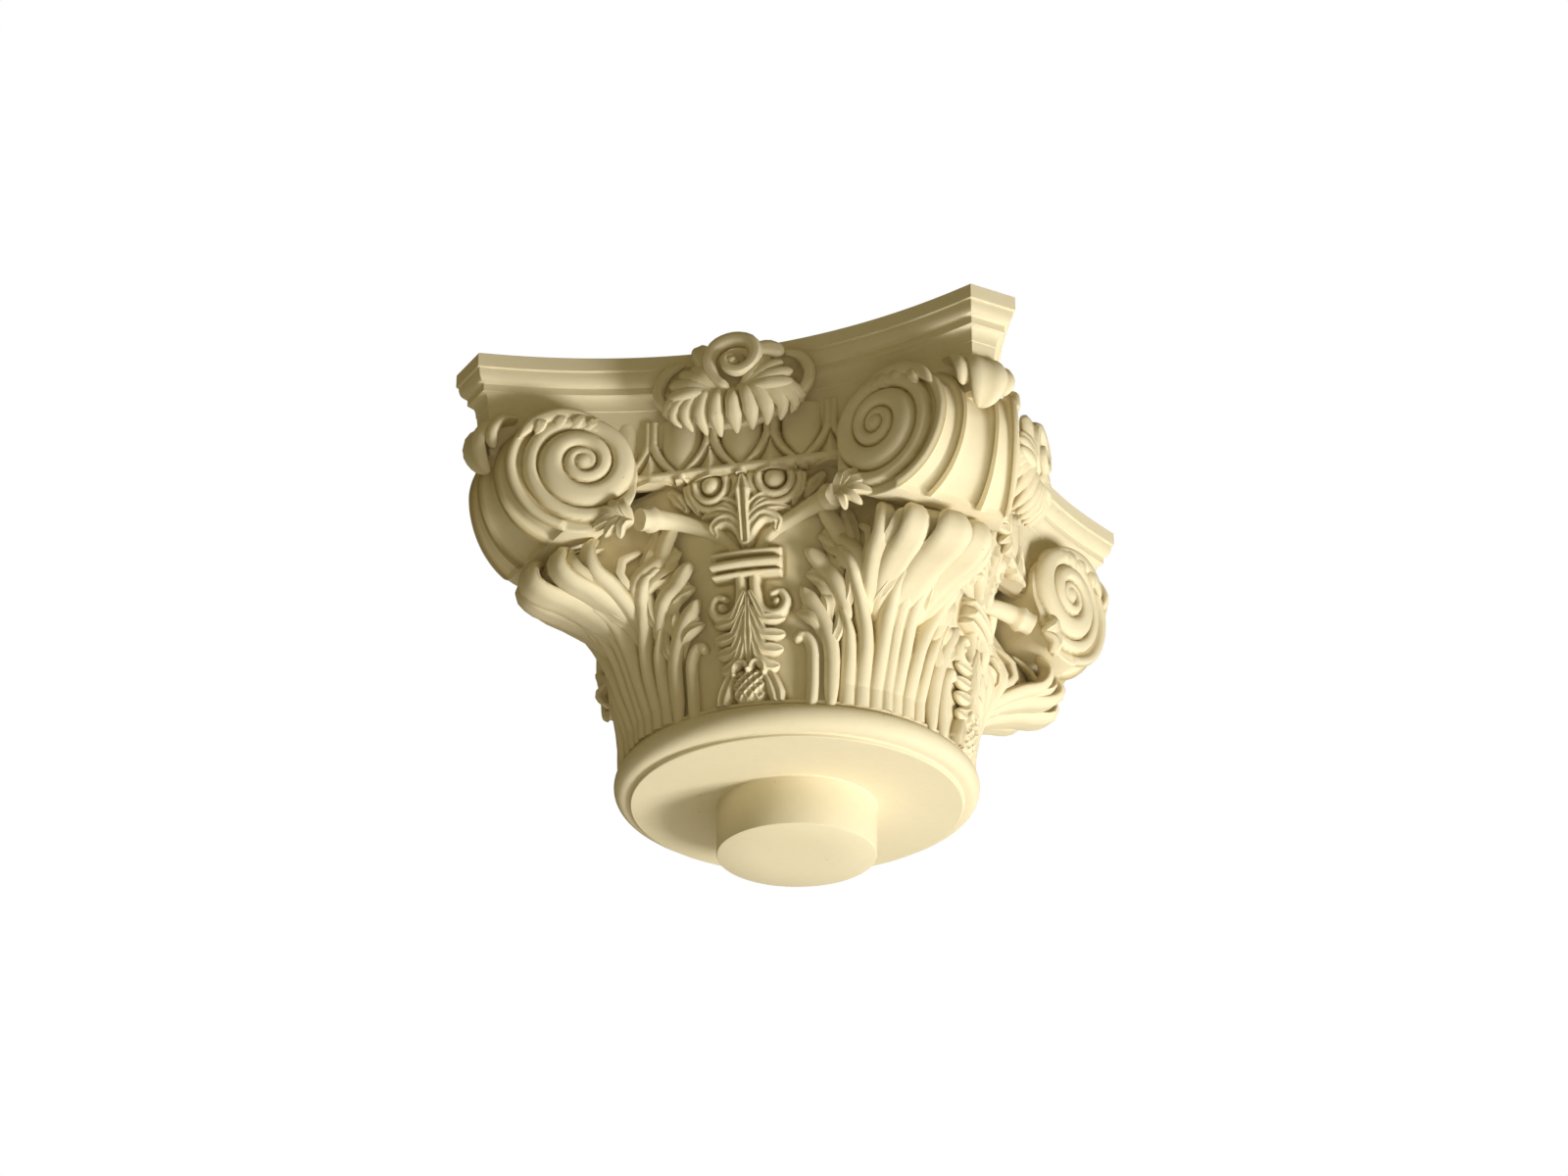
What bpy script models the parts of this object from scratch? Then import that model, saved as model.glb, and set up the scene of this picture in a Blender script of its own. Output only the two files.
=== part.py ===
"""Corinthian capital cast in one piece, with a round tenon under its neck.

The origin is at the centre of the tenon's underside, +Z is up and one carved face looks along -Y.
The face, its two half corners and their carving are modelled once and turned to the four sides.
"""
import math

import bpy
import numpy as np

# Driving dimensions, metres
NECK_RADIUS = 0.140
TENON_RADIUS = 0.061
TENON_LENGTH = 0.040
SEAT_RADIUS = 0.127
NECK_RING_HEIGHT = 0.028
TOTAL_HEIGHT = 0.3475
ABACUS_HALF_WIDTH = 0.220
ABACUS_CORNER_CUT = 0.0277
ABACUS_HOLLOW = 0.046
BELL_FOOT_RADIUS = 0.129
BELL_LIP_RADIUS = 0.156
LIP_HEIGHT = 0.250
BAND_SETBACK = 0.016
LEAF_REACH = 0.226
LEAF_TIP_HEIGHT = 0.171
EYE_X = 0.1134
EYE_SETBACK = 0.030
EYE_HEIGHT = 0.259
VOLUTE_RADIUS = 0.056
VOLUTE_TURN_SHRINK = 0.55
TIE_HEIGHT = 0.0235
TIE_MIDDLE = 0.176
FLEURON_HALF_WIDTH = 0.060
FLEURON_HEIGHT = 0.078
FLEURON_MIDDLE_DROP = 0.035

# The module that places the carving
M = NECK_RADIUS
ABACUS_CORNER_START = ABACUS_HALF_WIDTH - ABACUS_CORNER_CUT
BAND_HALF_WIDTH = ABACUS_HALF_WIDTH - ABACUS_HOLLOW - BAND_SETBACK
EYE_DEPTH = ABACUS_HALF_WIDTH - EYE_SETBACK
NECK_TOP = TENON_LENGTH + NECK_RING_HEIGHT
FACE_TILT = math.radians(22.8)
KEPT_SHARE = 0.60
CREAM = (0.72, 0.62, 0.40, 1.0)


def clear_scene():
    """Remove every object that the file opened with."""
    for item in list(bpy.data.objects):
        bpy.data.objects.remove(item, do_unlink=True)


def new_collection(name, hidden=False):
    """Add a collection to the scene; a hidden one holds the carving to be joined."""
    group = bpy.data.collections.new(name)
    bpy.context.scene.collection.children.link(group)
    group.hide_render = hidden
    return group


def mesh_object(name, points, faces, group):
    """Make an object from points and faces, with the faces turned outwards."""
    mesh = bpy.data.meshes.new(name)
    mesh.from_pydata([tuple(p) for p in points], [], faces)
    mesh.validate()
    item = bpy.data.objects.new(name, mesh)
    group.objects.link(item)
    return item


def volume(points, faces):
    """Signed volume of a closed mesh, positive when its faces point outwards."""
    total = 0.0
    for face in faces:
        a = points[face[0]]
        for i in range(1, len(face) - 1):
            total += float(np.dot(a, np.cross(points[face[i]], points[face[i + 1]])))
    return total


def loft(rings):
    """Closed solid through rings of equal length, its two ends closed flat."""
    rings = np.asarray(rings, dtype=float)
    count, size = rings.shape[:2]
    points = rings.reshape(-1, 3)
    faces = []
    for i in range(count - 1):
        for j in range(size):
            k = (j + 1) % size
            faces.append((i * size + j, i * size + k, (i + 1) * size + k))
            faces.append((i * size + j, (i + 1) * size + k, (i + 1) * size + j))
    faces.append(tuple(range(size - 1, -1, -1)))
    faces.append(tuple((count - 1) * size + j for j in range(size)))
    if volume(points, faces) < 0:
        faces = [tuple(reversed(face)) for face in faces]
    return points, faces


def unit(vectors):
    """Vectors scaled to length one."""
    return vectors / np.linalg.norm(vectors, axis=-1, keepdims=True)


def bezier(controls, share):
    """Points of a quadratic curve through three controls, at shares from 0 to 1."""
    a, b, c = (np.asarray(p, dtype=float) for p in controls)
    t = share[:, None]
    return a * (1 - t) ** 2 + b * 2 * t * (1 - t) + c * t ** 2


def bell_radius(height):
    """Radius of the plain bell, growing with the square of the height above the neck."""
    share = np.clip((height - NECK_TOP) / (LIP_HEIGHT - NECK_TOP), 0.0, 1.0)
    return BELL_FOOT_RADIUS + (BELL_LIP_RADIUS - BELL_FOOT_RADIUS) * share ** 2


def leaf_radius(turn, height):
    """Radius of the corner leaf: the bell plus a flare that is greatest on the diagonal."""
    rise = np.clip((height - NECK_TOP) / (LEAF_TIP_HEIGHT - NECK_TOP), 0.0, 1.0)
    bell = bell_radius(height)
    flare = (LEAF_REACH - bell) * (0.12 * rise + 0.88 * rise ** 3.2)
    spread = math.radians(36) * (1.0 - 0.42 * rise)
    across = np.clip(np.abs(np.abs(turn) - math.pi / 4) / spread, 0.0, 1.0)
    return bell + 0.045 * M * np.minimum(1.0, 6.0 * (1.0 - across)) + flare * (1.0 - across ** 2) ** 1.2


def on_bell(spots, lift):
    """Places on the bell: each spot is an angle from the face's middle and a height."""
    radius = bell_radius(spots[:, 1]) + lift
    return np.stack([radius * np.sin(spots[:, 0]), -radius * np.cos(spots[:, 0]), spots[:, 1]], axis=1)


def on_leaf(spots, lift):
    """Places on the corner leaf, given as on_bell."""
    radius = leaf_radius(spots[:, 0], spots[:, 1]) + lift
    return np.stack([radius * np.sin(spots[:, 0]), -radius * np.cos(spots[:, 0]), spots[:, 1]], axis=1)


def on_front(depth):
    """Places on an upright plane before the face: each spot is a sideways place and a height."""
    def place(spots, lift):
        return np.stack([spots[:, 0], -(depth + lift) + 0 * spots[:, 0], spots[:, 1]], axis=1)
    return place


def on_volute(side):
    """Places on the tilted plane of a volute: spots run out towards the corner and up."""
    def place(spots, lift):
        x = EYE_X + spots[:, 0] * math.cos(FACE_TILT) - lift * math.sin(FACE_TILT)
        y = -(EYE_DEPTH + spots[:, 0] * math.sin(FACE_TILT) + lift * math.cos(FACE_TILT))
        return np.stack([side * x, y, EYE_HEIGHT + spots[:, 1]], axis=1)
    return place


def strip(spots, width, height, surface, lift=0.0, root=0.35):
    """Three-sided ridge along spots on a surface, its foot sunk below it."""
    base = surface(spots, lift + 0 * spots[:, 0])
    normal = unit(surface(spots, lift + 0.001) - base)
    along = unit(np.gradient(base, axis=0))
    across = unit(np.cross(along, normal))
    width = np.broadcast_to(width, len(spots))[:, None]
    height = np.broadcast_to(height, len(spots))[:, None]
    foot = base - normal * height * root
    rings = np.stack([foot - across * width, base + normal * height, foot + across * width], axis=1)
    return loft(rings)


def petal(controls, width, height, surface, lift=0.0, stations=4):
    """Leaflet along a quadratic curve, narrow at its root, full past its middle, curled at the tip."""
    share = np.linspace(0.0, 1.0, stations)
    spots = bezier(controls, share)
    girth = np.sin(math.pi * (0.10 + 0.80 * share)) ** 0.8
    return strip(spots, width * girth, height * (0.35 + 0.65 * girth), surface,
                 lift * share ** 2, 0.5)


def ellipsoid(centre, radii, segments=8, rings=5):
    """Closed ellipsoid with its poles along the height."""
    points = [(centre[0], centre[1], centre[2] - radii[2])]
    for i in range(1, rings):
        tilt = -math.pi / 2 + math.pi * i / rings
        for j in range(segments):
            turn = 2 * math.pi * (j + 0.5) / segments
            points.append((centre[0] + radii[0] * math.cos(tilt) * math.cos(turn),
                           centre[1] + radii[1] * math.cos(tilt) * math.sin(turn),
                           centre[2] + radii[2] * math.sin(tilt)))
    points.append((centre[0], centre[1], centre[2] + radii[2]))
    faces = []
    last = len(points) - 1
    for j in range(segments):
        k = (j + 1) % segments
        faces.append((0, 1 + k, 1 + j))
        faces.append((last, last - segments + j, last - segments + k))
        for i in range(rings - 2):
            low, high = 1 + i * segments, 1 + (i + 1) * segments
            faces.append((low + j, low + k, high + k, high + j))
    return np.array(points), faces


def turned_core(group):
    """Tenon, seat, neck ring and bell as one turned profile."""
    ring = NECK_RING_HEIGHT / 2
    swell = NECK_RADIUS - SEAT_RADIUS
    profile = [(0.0, LIP_HEIGHT + 0.02)]
    for height in np.linspace(LIP_HEIGHT + 0.02, NECK_TOP, 5):
        profile.append((float(bell_radius(height)), float(height)))
    for i in range(1, 6):
        turn = math.pi / 2 - math.pi * i / 6
        profile.append((SEAT_RADIUS + swell * math.cos(turn), TENON_LENGTH + ring + ring * math.sin(turn)))
    profile += [(SEAT_RADIUS, TENON_LENGTH), (TENON_RADIUS, TENON_LENGTH), (TENON_RADIUS, 0.0), (0.0, 0.0)]
    points = [(x, 0.0, z) for x, z in profile]
    core = mesh_object("capital", points, [], group)
    core.data.edges.add(len(points) - 1)
    for i, edge in enumerate(core.data.edges):
        edge.vertices = (i, i + 1)
    screw = core.modifiers.new("turn", "SCREW")
    screw.axis = "Z"
    screw.steps = 36
    screw.render_steps = 36
    screw.use_merge_vertices = True
    screw.merge_threshold = 0.00001
    core.modifiers.new("split", "TRIANGULATE")
    return core


def abacus_plan(inset, arc_points=6):
    """Plan of the abacus at one level: four hollow sides and four cut corners."""
    bend = ABACUS_HOLLOW / ABACUS_CORNER_START ** 2
    reach = ABACUS_CORNER_START + ABACUS_HOLLOW - (math.sqrt(2) - 1.05) * inset
    corner = (-1 + math.sqrt(1 + 4 * bend * reach)) / (2 * bend)
    x = np.linspace(-corner, corner, arc_points)
    y = -(ABACUS_HALF_WIDTH - ABACUS_HOLLOW) - bend * x ** 2 + inset * 1.05
    side = np.stack([x, y], axis=1)
    plan = []
    for quarter in range(4):
        turn = quarter * math.pi / 2
        spin = np.array([[math.cos(turn), math.sin(turn)], [-math.sin(turn), math.cos(turn)]])
        plan.append(side @ spin)
    return np.concatenate(plan)


def abacus():
    """Moulded abacus: a fillet, an ovolo, a cavetto and a plain fascia, from the top down."""
    levels = [(0.0, 0.0), (0.080, 0.002), (0.126, 0.018), (0.163, 0.045), (0.207, 0.047),
              (0.245, 0.068), (0.290, 0.090), (0.330, 0.094), (0.560, 0.130)]
    rings = []
    for drop, inset in levels:
        plan = abacus_plan(inset * M)
        rings.append(np.column_stack([plan, np.full(len(plan), TOTAL_HEIGHT - drop * M)]))
    return loft(rings)


def band_block():
    """Straight-sided drum behind the eggs, with a fillet along its foot."""
    half = BAND_HALF_WIDTH
    cut = 0.62 * half
    levels = [(LIP_HEIGHT - 0.006, -0.012), (LIP_HEIGHT - 0.003, 0.009), (LIP_HEIGHT + 0.003, 0.009),
              (LIP_HEIGHT + 0.006, 0.002), (TOTAL_HEIGHT - 0.40 * M, 0.0)]
    rings = []
    for height, out in levels:
        h = half + out
        rings.append([(-cut, -h, height), (cut, -h, height), (h, -cut, height), (h, cut, height),
                      (cut, h, height), (-cut, h, height), (-h, cut, height), (-h, -cut, height)])
    return loft(rings)


def volute_spiral(turn):
    """Radius of the volute's coil, shrinking by the same share each turn."""
    start = math.radians(-75)
    return VOLUTE_RADIUS * VOLUTE_TURN_SHRINK ** ((turn - start) / (2 * math.pi))


def corner_block():
    """The two back-to-back volutes of a corner and the channelled ribbon between them."""
    turns = np.radians(np.linspace(-75, 195, 14))
    fade = np.clip((math.radians(70) - turns) / math.radians(60), 0.0, 1.0)
    reach = volute_spiral(turns) + 0.010 * fade
    outline = np.stack([reach * np.cos(turns), reach * np.sin(turns)], axis=1)
    foot = np.array([(-0.300, -0.20), (-0.260, -0.43), (-0.060, -0.47)]) * M
    outline = np.concatenate([outline, foot])
    bulge = np.concatenate([np.clip((math.radians(150) - turns) / math.radians(80), 0, 1), np.zeros(len(foot))])
    outward = unit(outline)
    diagonal = np.array([1.0, -1.0]) / math.sqrt(2)
    sideways = np.array([1.0, 1.0]) / math.sqrt(2)
    eye = np.array([EYE_X, -EYE_DEPTH])
    lean = math.pi / 4 - FACE_TILT
    rings = []
    for share, raised in ((-1, 0.0), (-0.80, 0.0), (-0.66, -0.005), (0.0, 0.006),
                          (0.66, -0.005), (0.80, 0.0), (1, 0.0)):
        u = outline[:, 0] + raised * bulge * outward[:, 0]
        z = outline[:, 1] + raised * bulge * outward[:, 1]
        out = eye @ diagonal + u * math.cos(lean)
        half = -(eye @ sideways) - outline[:, 0] * math.sin(lean)
        plan = out[:, None] * diagonal + (half * share)[:, None] * sideways
        rings.append(np.column_stack([plan, EYE_HEIGHT + z]))
    return loft(rings)


def volute_coil(side):
    """Raised rib that winds in to the volute's eye."""
    turns = np.radians(np.linspace(-60, 470, 15))
    reach = volute_spiral(turns) * 0.90
    spots = np.stack([reach * np.cos(turns), reach * np.sin(turns)], axis=1)
    width = 0.14 * reach + 0.001
    return strip(spots, width, 0.10 * reach + 0.0028, on_volute(side), root=0.6)


def corner_leaf():
    """Body of the acanthus leaf that flares out under each corner, fluted from the neck up."""
    heights = [NECK_TOP - 0.004, 0.80 * M, 1.02 * M, 1.14 * M, 1.22 * M, 1.31 * M, 1.40 * M]
    flutes = np.linspace(-34, 34, 13)
    ridge = np.where(np.arange(13) % 2 == 1, 0.030, -0.020) * M
    rings = []
    for height in heights:
        spread = 1.0 - 0.52 * np.clip((height - 0.9 * M) / (0.4 * M), 0, 1)
        turn = math.pi / 4 + np.radians(flutes) * spread
        fade = np.clip((1.30 * M - height) / (0.15 * M), 0, 1)
        radius = leaf_radius(turn, height) + ridge * fade
        radius = radius - 0.03 * M * max(0.0, (height - 1.25 * M) / (0.15 * M))
        outer = np.stack([radius * np.sin(turn), -radius * np.cos(turn)], axis=1)
        inner_turn = turn[[-1, 0]]
        inner = 0.80 * M * np.stack([np.sin(inner_turn), -np.cos(inner_turn)], axis=1)
        plan = np.concatenate([outer, inner])
        rings.append(np.column_stack([plan, np.full(len(plan), height)]))
    return loft(rings)


def leaf_lobes(side):
    """Heads of the lobes of half a corner leaf, each above the last along its edge."""
    def spots(*pairs):
        return [(side * math.radians(angle), height * M) for angle, height in pairs]
    bodies = []
    heads = [((20.0, 0.55), (20, 0.88), (12.5, 0.92), 0.050, 0.060),
             ((26.5, 0.78), (23, 1.06), (14.0, 1.18), 0.090, 0.095),
             ((33.0, 1.02), (30, 1.33), (18.0, 1.50), 0.115, 0.125)]
    for start, middle, end, width, height in heads:
        bodies.append(petal(spots(start, middle, end), width * M, height * M, on_leaf, 0.02 * M, 3))
    return bodies


def ribbon_leaf():
    """Small leaf that curls over the ribbon just under the abacus."""
    share = np.linspace(0, 1, 5)
    spots = bezier([(1.80 * M, 2.18 * M), (2.04 * M, 2.12 * M), (2.02 * M, 1.90 * M)], share)
    width = 0.11 * M * np.sin(math.pi * (0.25 + 0.60 * share))
    middle = np.stack([spots[:, 0] / math.sqrt(2), -spots[:, 0] / math.sqrt(2), spots[:, 1]], axis=1)
    across = np.array([1.0, 1.0, 0.0]) / math.sqrt(2)
    along = unit(np.gradient(middle, axis=0))
    normal = np.cross(across, along)
    normal = normal * np.sign(normal[:1] @ np.array([1.0, -1.0, 0.5]))[:, None]
    rings = np.stack([middle - across * width[:, None], middle + normal * 0.004,
                      middle + across * width[:, None], middle - normal * 0.020], axis=1)
    return loft(rings)


def egg_row():
    """Eggs with pointed darts between them, on the band's front."""
    bodies = []
    pitch = 0.337 * M
    front = -BAND_HALF_WIDTH - 0.001
    for i in range(-1, 2):
        bodies.append(ellipsoid((i * pitch, front, 1.995 * M), (0.122 * M, 0.075 * M, 0.175 * M), 6, 4))
    for i in range(-2, 2):
        x = (i + 0.5) * pitch
        arc = [(x, 2.14 * M), (x, 2.00 * M), (x, 1.82 * M)]
        bodies.append(petal(arc, 0.042 * M, 0.050 * M, on_front(BAND_HALF_WIDTH), stations=3))
    return bodies


def palmette():
    """Upper row: a spiky stem between two small cups, over leaves that spring from the tie."""
    bodies = []
    def spots(*pairs):
        return [(x, z * M) for x, z in pairs]
    wall = BELL_LIP_RADIUS + 0.002
    front = on_front(wall)
    bodies.append(petal(spots((0, 1.36), (0, 1.60), (0, 1.80)), 0.05 * M, 0.06 * M, front, 0.02 * M, 4))
    for side in (-1, 1):
        x = side * 0.172 * M
        bodies.append(ellipsoid((x, -wall, 1.72 * M), (0.068 * M, 0.075 * M, 0.075 * M), 6, 3))
        ring = np.radians(np.linspace(-190, 10, 5))
        path = np.stack([x + 0.115 * M * np.cos(ring), 1.72 * M + 0.115 * M * np.sin(ring)], axis=1)
        bodies.append(strip(path, 0.020 * M, 0.055 * M, front, root=1.0))
        bodies.append(petal(spots((side * 0.03 * M, 1.42), (side * 0.05 * M, 1.56), (side * 0.20 * M, 1.60)),
                            0.035 * M, 0.045 * M, front, 0.03 * M))
    return bodies


def volute_stem(side):
    """Fluted stem that rises from the tie and opens into the volute's foot."""
    share = np.linspace(0, 1, 4)
    path = bezier([(0.06 * M, -1.02 * M, 1.36 * M), (0.30 * M, -1.02 * M, 1.60 * M),
                   (0.78 * M, -1.18 * M, 1.60 * M)], share)
    size = (0.035 + 0.135 * share ** 1.3) * M
    rings = []
    for point, radius in zip(path, size):
        turns = np.radians(np.arange(0, 360, 60))
        rings.append(np.stack([np.full(6, point[0]) - 0.25 * radius * np.sin(turns),
                               point[1] + radius * 0.8 * np.cos(turns),
                               point[2] + radius * np.sin(turns)], axis=1))
    points, faces = loft(rings)
    points = points * np.array([side, 1.0, 1.0])
    if side < 0:
        faces = [tuple(reversed(face)) for face in faces]
    return points, faces


def calyx(side):
    """Tuft of small leaves where the stem opens."""
    bodies = []
    plane = on_front(1.25 * M)
    for drift, rise in ((0.10, 0.12), (0.13, -0.04)):
        root = (side * 0.60 * M, 1.50 * M)
        end = (side * (0.60 + drift) * M, (1.50 + rise) * M)
        middle = ((root[0] + end[0]) / 2, (root[1] + end[1]) / 2 + 0.02 * M)
        bodies.append(petal([root, middle, end], 0.040 * M, 0.060 * M, plane, 0.02 * M, 3))
    return bodies


def tie():
    """Band round the foot of the stems: a broad rib between two thin ones."""
    section = [(-0.5, 0.0), (-0.5, 0.045), (-0.34, 0.065), (-0.22, 0.045), (-0.16, 0.08), (0.16, 0.08),
               (0.22, 0.045), (0.34, 0.065), (0.5, 0.045), (0.5, 0.0)]
    rings = []
    for turn in np.radians(np.linspace(-10.3, 10.3, 4)):
        ring = []
        for rise, out in section:
            height = TIE_MIDDLE + rise * TIE_HEIGHT
            radius = bell_radius(TIE_MIDDLE) + (out - (0.05 if out == 0 else 0)) * M
            ring.append((radius * math.sin(turn), -radius * math.cos(turn), height))
        rings.append(ring)
    return loft(rings)


def pendant():
    """Drop below the tie: two scrolls, three tiers of drooping leaves and a seed cone."""
    bodies = []
    def spots(*pairs):
        return [(math.radians(angle), height * M) for angle, height in pairs]
    bodies.append(petal(spots((0, 1.22), (0, 0.95), (0, 0.66)), 0.045 * M, 0.06 * M, on_bell, 0.0, 3))
    for side in (-1, 1):
        turns = np.radians(np.linspace(80, -190, 6))
        reach = (0.062 - 0.030 * np.linspace(0, 1, 6)) * M
        middle = (side * math.radians(6.6), 1.05 * M)
        path = np.stack([middle[0] - side * reach / M * np.cos(turns), middle[1] + reach * np.sin(turns)], axis=1)
        bodies.append(strip(path[::-1] if side > 0 else path, 0.018 * M, 0.045 * M, on_bell, root=0.8))
        for top, low, wide in ((1.00, 0.88, 9.0), (0.86, 0.74, 8.0)):
            start = (side * 1.0, top)
            bodies.append(petal(spots(start, (side * wide * 0.55, top - 0.02), (side * wide, low)),
                                0.046 * M, 0.055 * M, on_bell, 0.03 * M, 3))
    radius = bell_radius(0.58 * M)
    bodies.append(ellipsoid((0.0, -radius, 0.585 * M), (0.085 * M, 0.06 * M, 0.115 * M), 6, 4))
    return bodies


def fleuron():
    """Leafy shell on the middle of the abacus: a curl, two side fans and drooping fingers."""
    bodies = []
    middle = TOTAL_HEIGHT - FLEURON_MIDDLE_DROP
    depth = ABACUS_HALF_WIDTH - ABACUS_HOLLOW + 0.05 * M
    plane = on_front(depth)
    low = TOTAL_HEIGHT - FLEURON_HEIGHT
    bodies.append(ellipsoid((0.0, -(depth - 0.06 * M), middle), (0.75 * FLEURON_HALF_WIDTH, 0.10 * M, 0.20 * M), 6, 4))
    fingers = 5
    for i in range(fingers):
        lean = (i - (fingers - 1) / 2) / ((fingers - 1) / 2)
        root = (lean * 0.30 * FLEURON_HALF_WIDTH, middle - 0.08 * M)
        bend = (lean * 0.75 * FLEURON_HALF_WIDTH, middle - 0.10 * M + 0.02 * M * abs(lean))
        tip = (lean * FLEURON_HALF_WIDTH * 0.98, low + 0.11 * M * lean ** 2)
        bodies.append(petal([root, bend, tip], 0.060 * M, 0.060 * M, plane, -0.02 * M, 3))
    for side in (-1, 1):
        for angle, length in ((5, 0.42), (42, 0.42)):
            turn = math.radians(angle)
            root = (side * 0.05 * M, middle - 0.04 * M)
            tip = (side * length * M * math.cos(turn), middle + length * M * math.sin(turn) * 0.75)
            bend = (side * length * M * 0.6 * math.cos(turn + 0.5), middle + length * M * 0.6 * math.sin(turn + 0.5))
            bodies.append(petal([root, bend, tip], 0.095 * M, 0.075 * M, plane, 0.01 * M, 3))
    turns = np.radians(np.linspace(-120, 200, 7))
    reach = np.linspace(0.115, 0.050, 7) * M
    path = np.stack([reach * np.cos(turns), middle + 0.06 * M + reach * np.sin(turns)], axis=1)
    bodies.append(strip(path, 0.026 * M, 0.055 * M, plane, 0.02 * M, 1.6))
    return bodies


def side_carving():
    """Every body that belongs to the face looking along -Y and to its right-hand corner."""
    bodies = [corner_block(), corner_leaf(), ribbon_leaf(), tie()]
    for side in (-1, 1):
        bodies += [volute_coil(side), volute_stem(side)]
        bodies += leaf_lobes(side) + calyx(side)
    return bodies + egg_row() + palmette() + pendant() + fleuron()


def stone_material():
    """Cream cast stone."""
    material = bpy.data.materials.new("cream_stone")
    material.use_nodes = True
    shader = material.node_tree.nodes["Principled BSDF"]
    shader.inputs["Base Color"].default_value = CREAM
    shader.inputs["Roughness"].default_value = 0.75
    shader.inputs["Metallic"].default_value = 0.0
    return material


def build():
    """Model the core, turn the carving to the four sides and join it all into one body."""
    clear_scene()
    whole = new_collection("corinthian_capital")
    carving = new_collection("carving", hidden=True)
    core = turned_core(whole)
    pieces = [("abacus", abacus()), ("band", band_block())]
    for number, (points, faces) in enumerate(side_carving()):
        for quarter in range(4):
            turn = quarter * math.pi / 2
            spin = np.array([[math.cos(turn), math.sin(turn), 0], [-math.sin(turn), math.cos(turn), 0], [0, 0, 1]])
            pieces.append((f"carving_{number}_{quarter}", (points @ spin, faces)))
    for name, (points, faces) in pieces:
        if volume(points, faces) < 0:
            faces = [tuple(reversed(face)) for face in faces]
        item = mesh_object(name, points, faces, carving)
        item.display_type = "WIRE"
        item.hide_render = True
    join = core.modifiers.new("join", "BOOLEAN")
    join.operation = "UNION"
    join.solver = "EXACT"
    join.operand_type = "COLLECTION"
    join.collection = carving
    trim = core.modifiers.new("trim", "DECIMATE")
    trim.ratio = KEPT_SHARE
    core.data.materials.append(stone_material())


build()
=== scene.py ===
"""Looks for a corinthian capital of cream cast stone.

Every shape is worked out in modules, one module being the radius of the neck, and is scaled to
metres when its mesh is made. One face looks along -Y, and the carving of a face and of the corner
at its right is made once and turned to the four sides.
"""
import math

import bpy
import numpy as np
from mathutils import Matrix, Vector


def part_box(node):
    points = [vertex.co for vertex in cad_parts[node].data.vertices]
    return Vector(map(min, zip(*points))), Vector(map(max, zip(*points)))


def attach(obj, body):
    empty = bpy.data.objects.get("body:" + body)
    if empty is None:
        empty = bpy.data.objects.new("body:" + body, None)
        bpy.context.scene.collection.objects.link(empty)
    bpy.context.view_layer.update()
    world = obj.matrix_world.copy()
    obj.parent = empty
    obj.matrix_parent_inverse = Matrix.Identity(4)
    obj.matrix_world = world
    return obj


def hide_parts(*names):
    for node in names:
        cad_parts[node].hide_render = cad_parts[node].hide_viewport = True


bl_info = {
    "name": "Corinthian capital",
    "version": (1, 0, 0),
    "blender": (4, 2, 0),
    "location": "3D View > Sidebar > Capital",
    "description": "Builds a carved capital of cast stone and its studio",
    "category": "Add Mesh",
}

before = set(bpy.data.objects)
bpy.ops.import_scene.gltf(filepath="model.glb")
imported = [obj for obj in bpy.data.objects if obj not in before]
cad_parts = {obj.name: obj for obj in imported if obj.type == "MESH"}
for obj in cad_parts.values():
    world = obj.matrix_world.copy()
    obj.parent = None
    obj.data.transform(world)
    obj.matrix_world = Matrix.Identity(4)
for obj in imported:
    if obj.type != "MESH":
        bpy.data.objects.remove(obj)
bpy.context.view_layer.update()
NODE_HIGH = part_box("capital")[1]

# Driving sizes: metres from the capital part in model.glb, the rest in modules
HEIGHT = NODE_HIGH[2]
MODULE = HEIGHT / 2.482
TOP = HEIGHT / MODULE
ABACUS_HALF = NODE_HIGH[0] / MODULE
ABACUS_CORNER = 1.3736
ABACUS_HOLLOW = 0.3286
TENON_RADIUS = 0.436
TENON_LENGTH = 0.286
SEAT_RADIUS = 0.907
RING_HEIGHT = 0.200
NECK_TOP = TENON_LENGTH + RING_HEIGHT
BELL_FOOT = 0.921
BELL_LIP = 1.114
LIP_HEIGHT = 1.786
BAND_HALF = 1.129
BAND_TOP = 2.12
EGG_PITCH = 0.337
EGG_HEIGHT = 1.975
EYE_ACROSS = 0.830
EYE_DEPTH = 1.357
EYE_HEIGHT = 1.810
EYE_RADIUS = 0.046
COIL_START = math.radians(-75)
FACE_TILT = math.radians(22.8)
QUARTER = math.pi / 4

# The coil's line: its distance from the eye at every quarter turn inwards, from below the foot
COIL_FIRST = -165.0
COIL_LINE = (0.368, 0.338, 0.322, 0.296, 0.278, 0.262, 0.240, 0.186, 0.150, 0.127, 0.106, 0.086,
             0.070, 0.056, 0.044, 0.035, 0.028)

# A volute's edge: its distance from the eye at angles in degrees
EDGE_ANGLES = (-75, -45, 0, 25, 50, 80, 110, 160, 195, 225, 255, 285)
EDGE_REACHES = (0.412, 0.420, 0.421, 0.405, 0.365, 0.318, 0.296, 0.284, 0.305, 0.355, 0.395, 0.412)

# Profile of the corner leaf on the diagonal: how far out it stands at each height
LEAF_HEIGHTS = (0.47, 0.60, 0.75, 0.90, 1.00, 1.08, 1.14, 1.19, 1.24, 1.32, 1.40, 1.50, 1.70, 1.86)
LEAF_REACHES = (0.895, 0.925, 0.970, 1.020, 1.065, 1.125, 1.20, 1.31, 1.43, 1.50, 1.48, 1.38, 1.20, 1.12)

# How many degrees the leaf spreads to each side of the diagonal at each height
SPREAD_HEIGHTS = (0.47, 0.9, 1.1, 1.25, 1.5, 1.86)
SPREAD_DEGREES = (36, 32, 26, 20, 15, 12)
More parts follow.
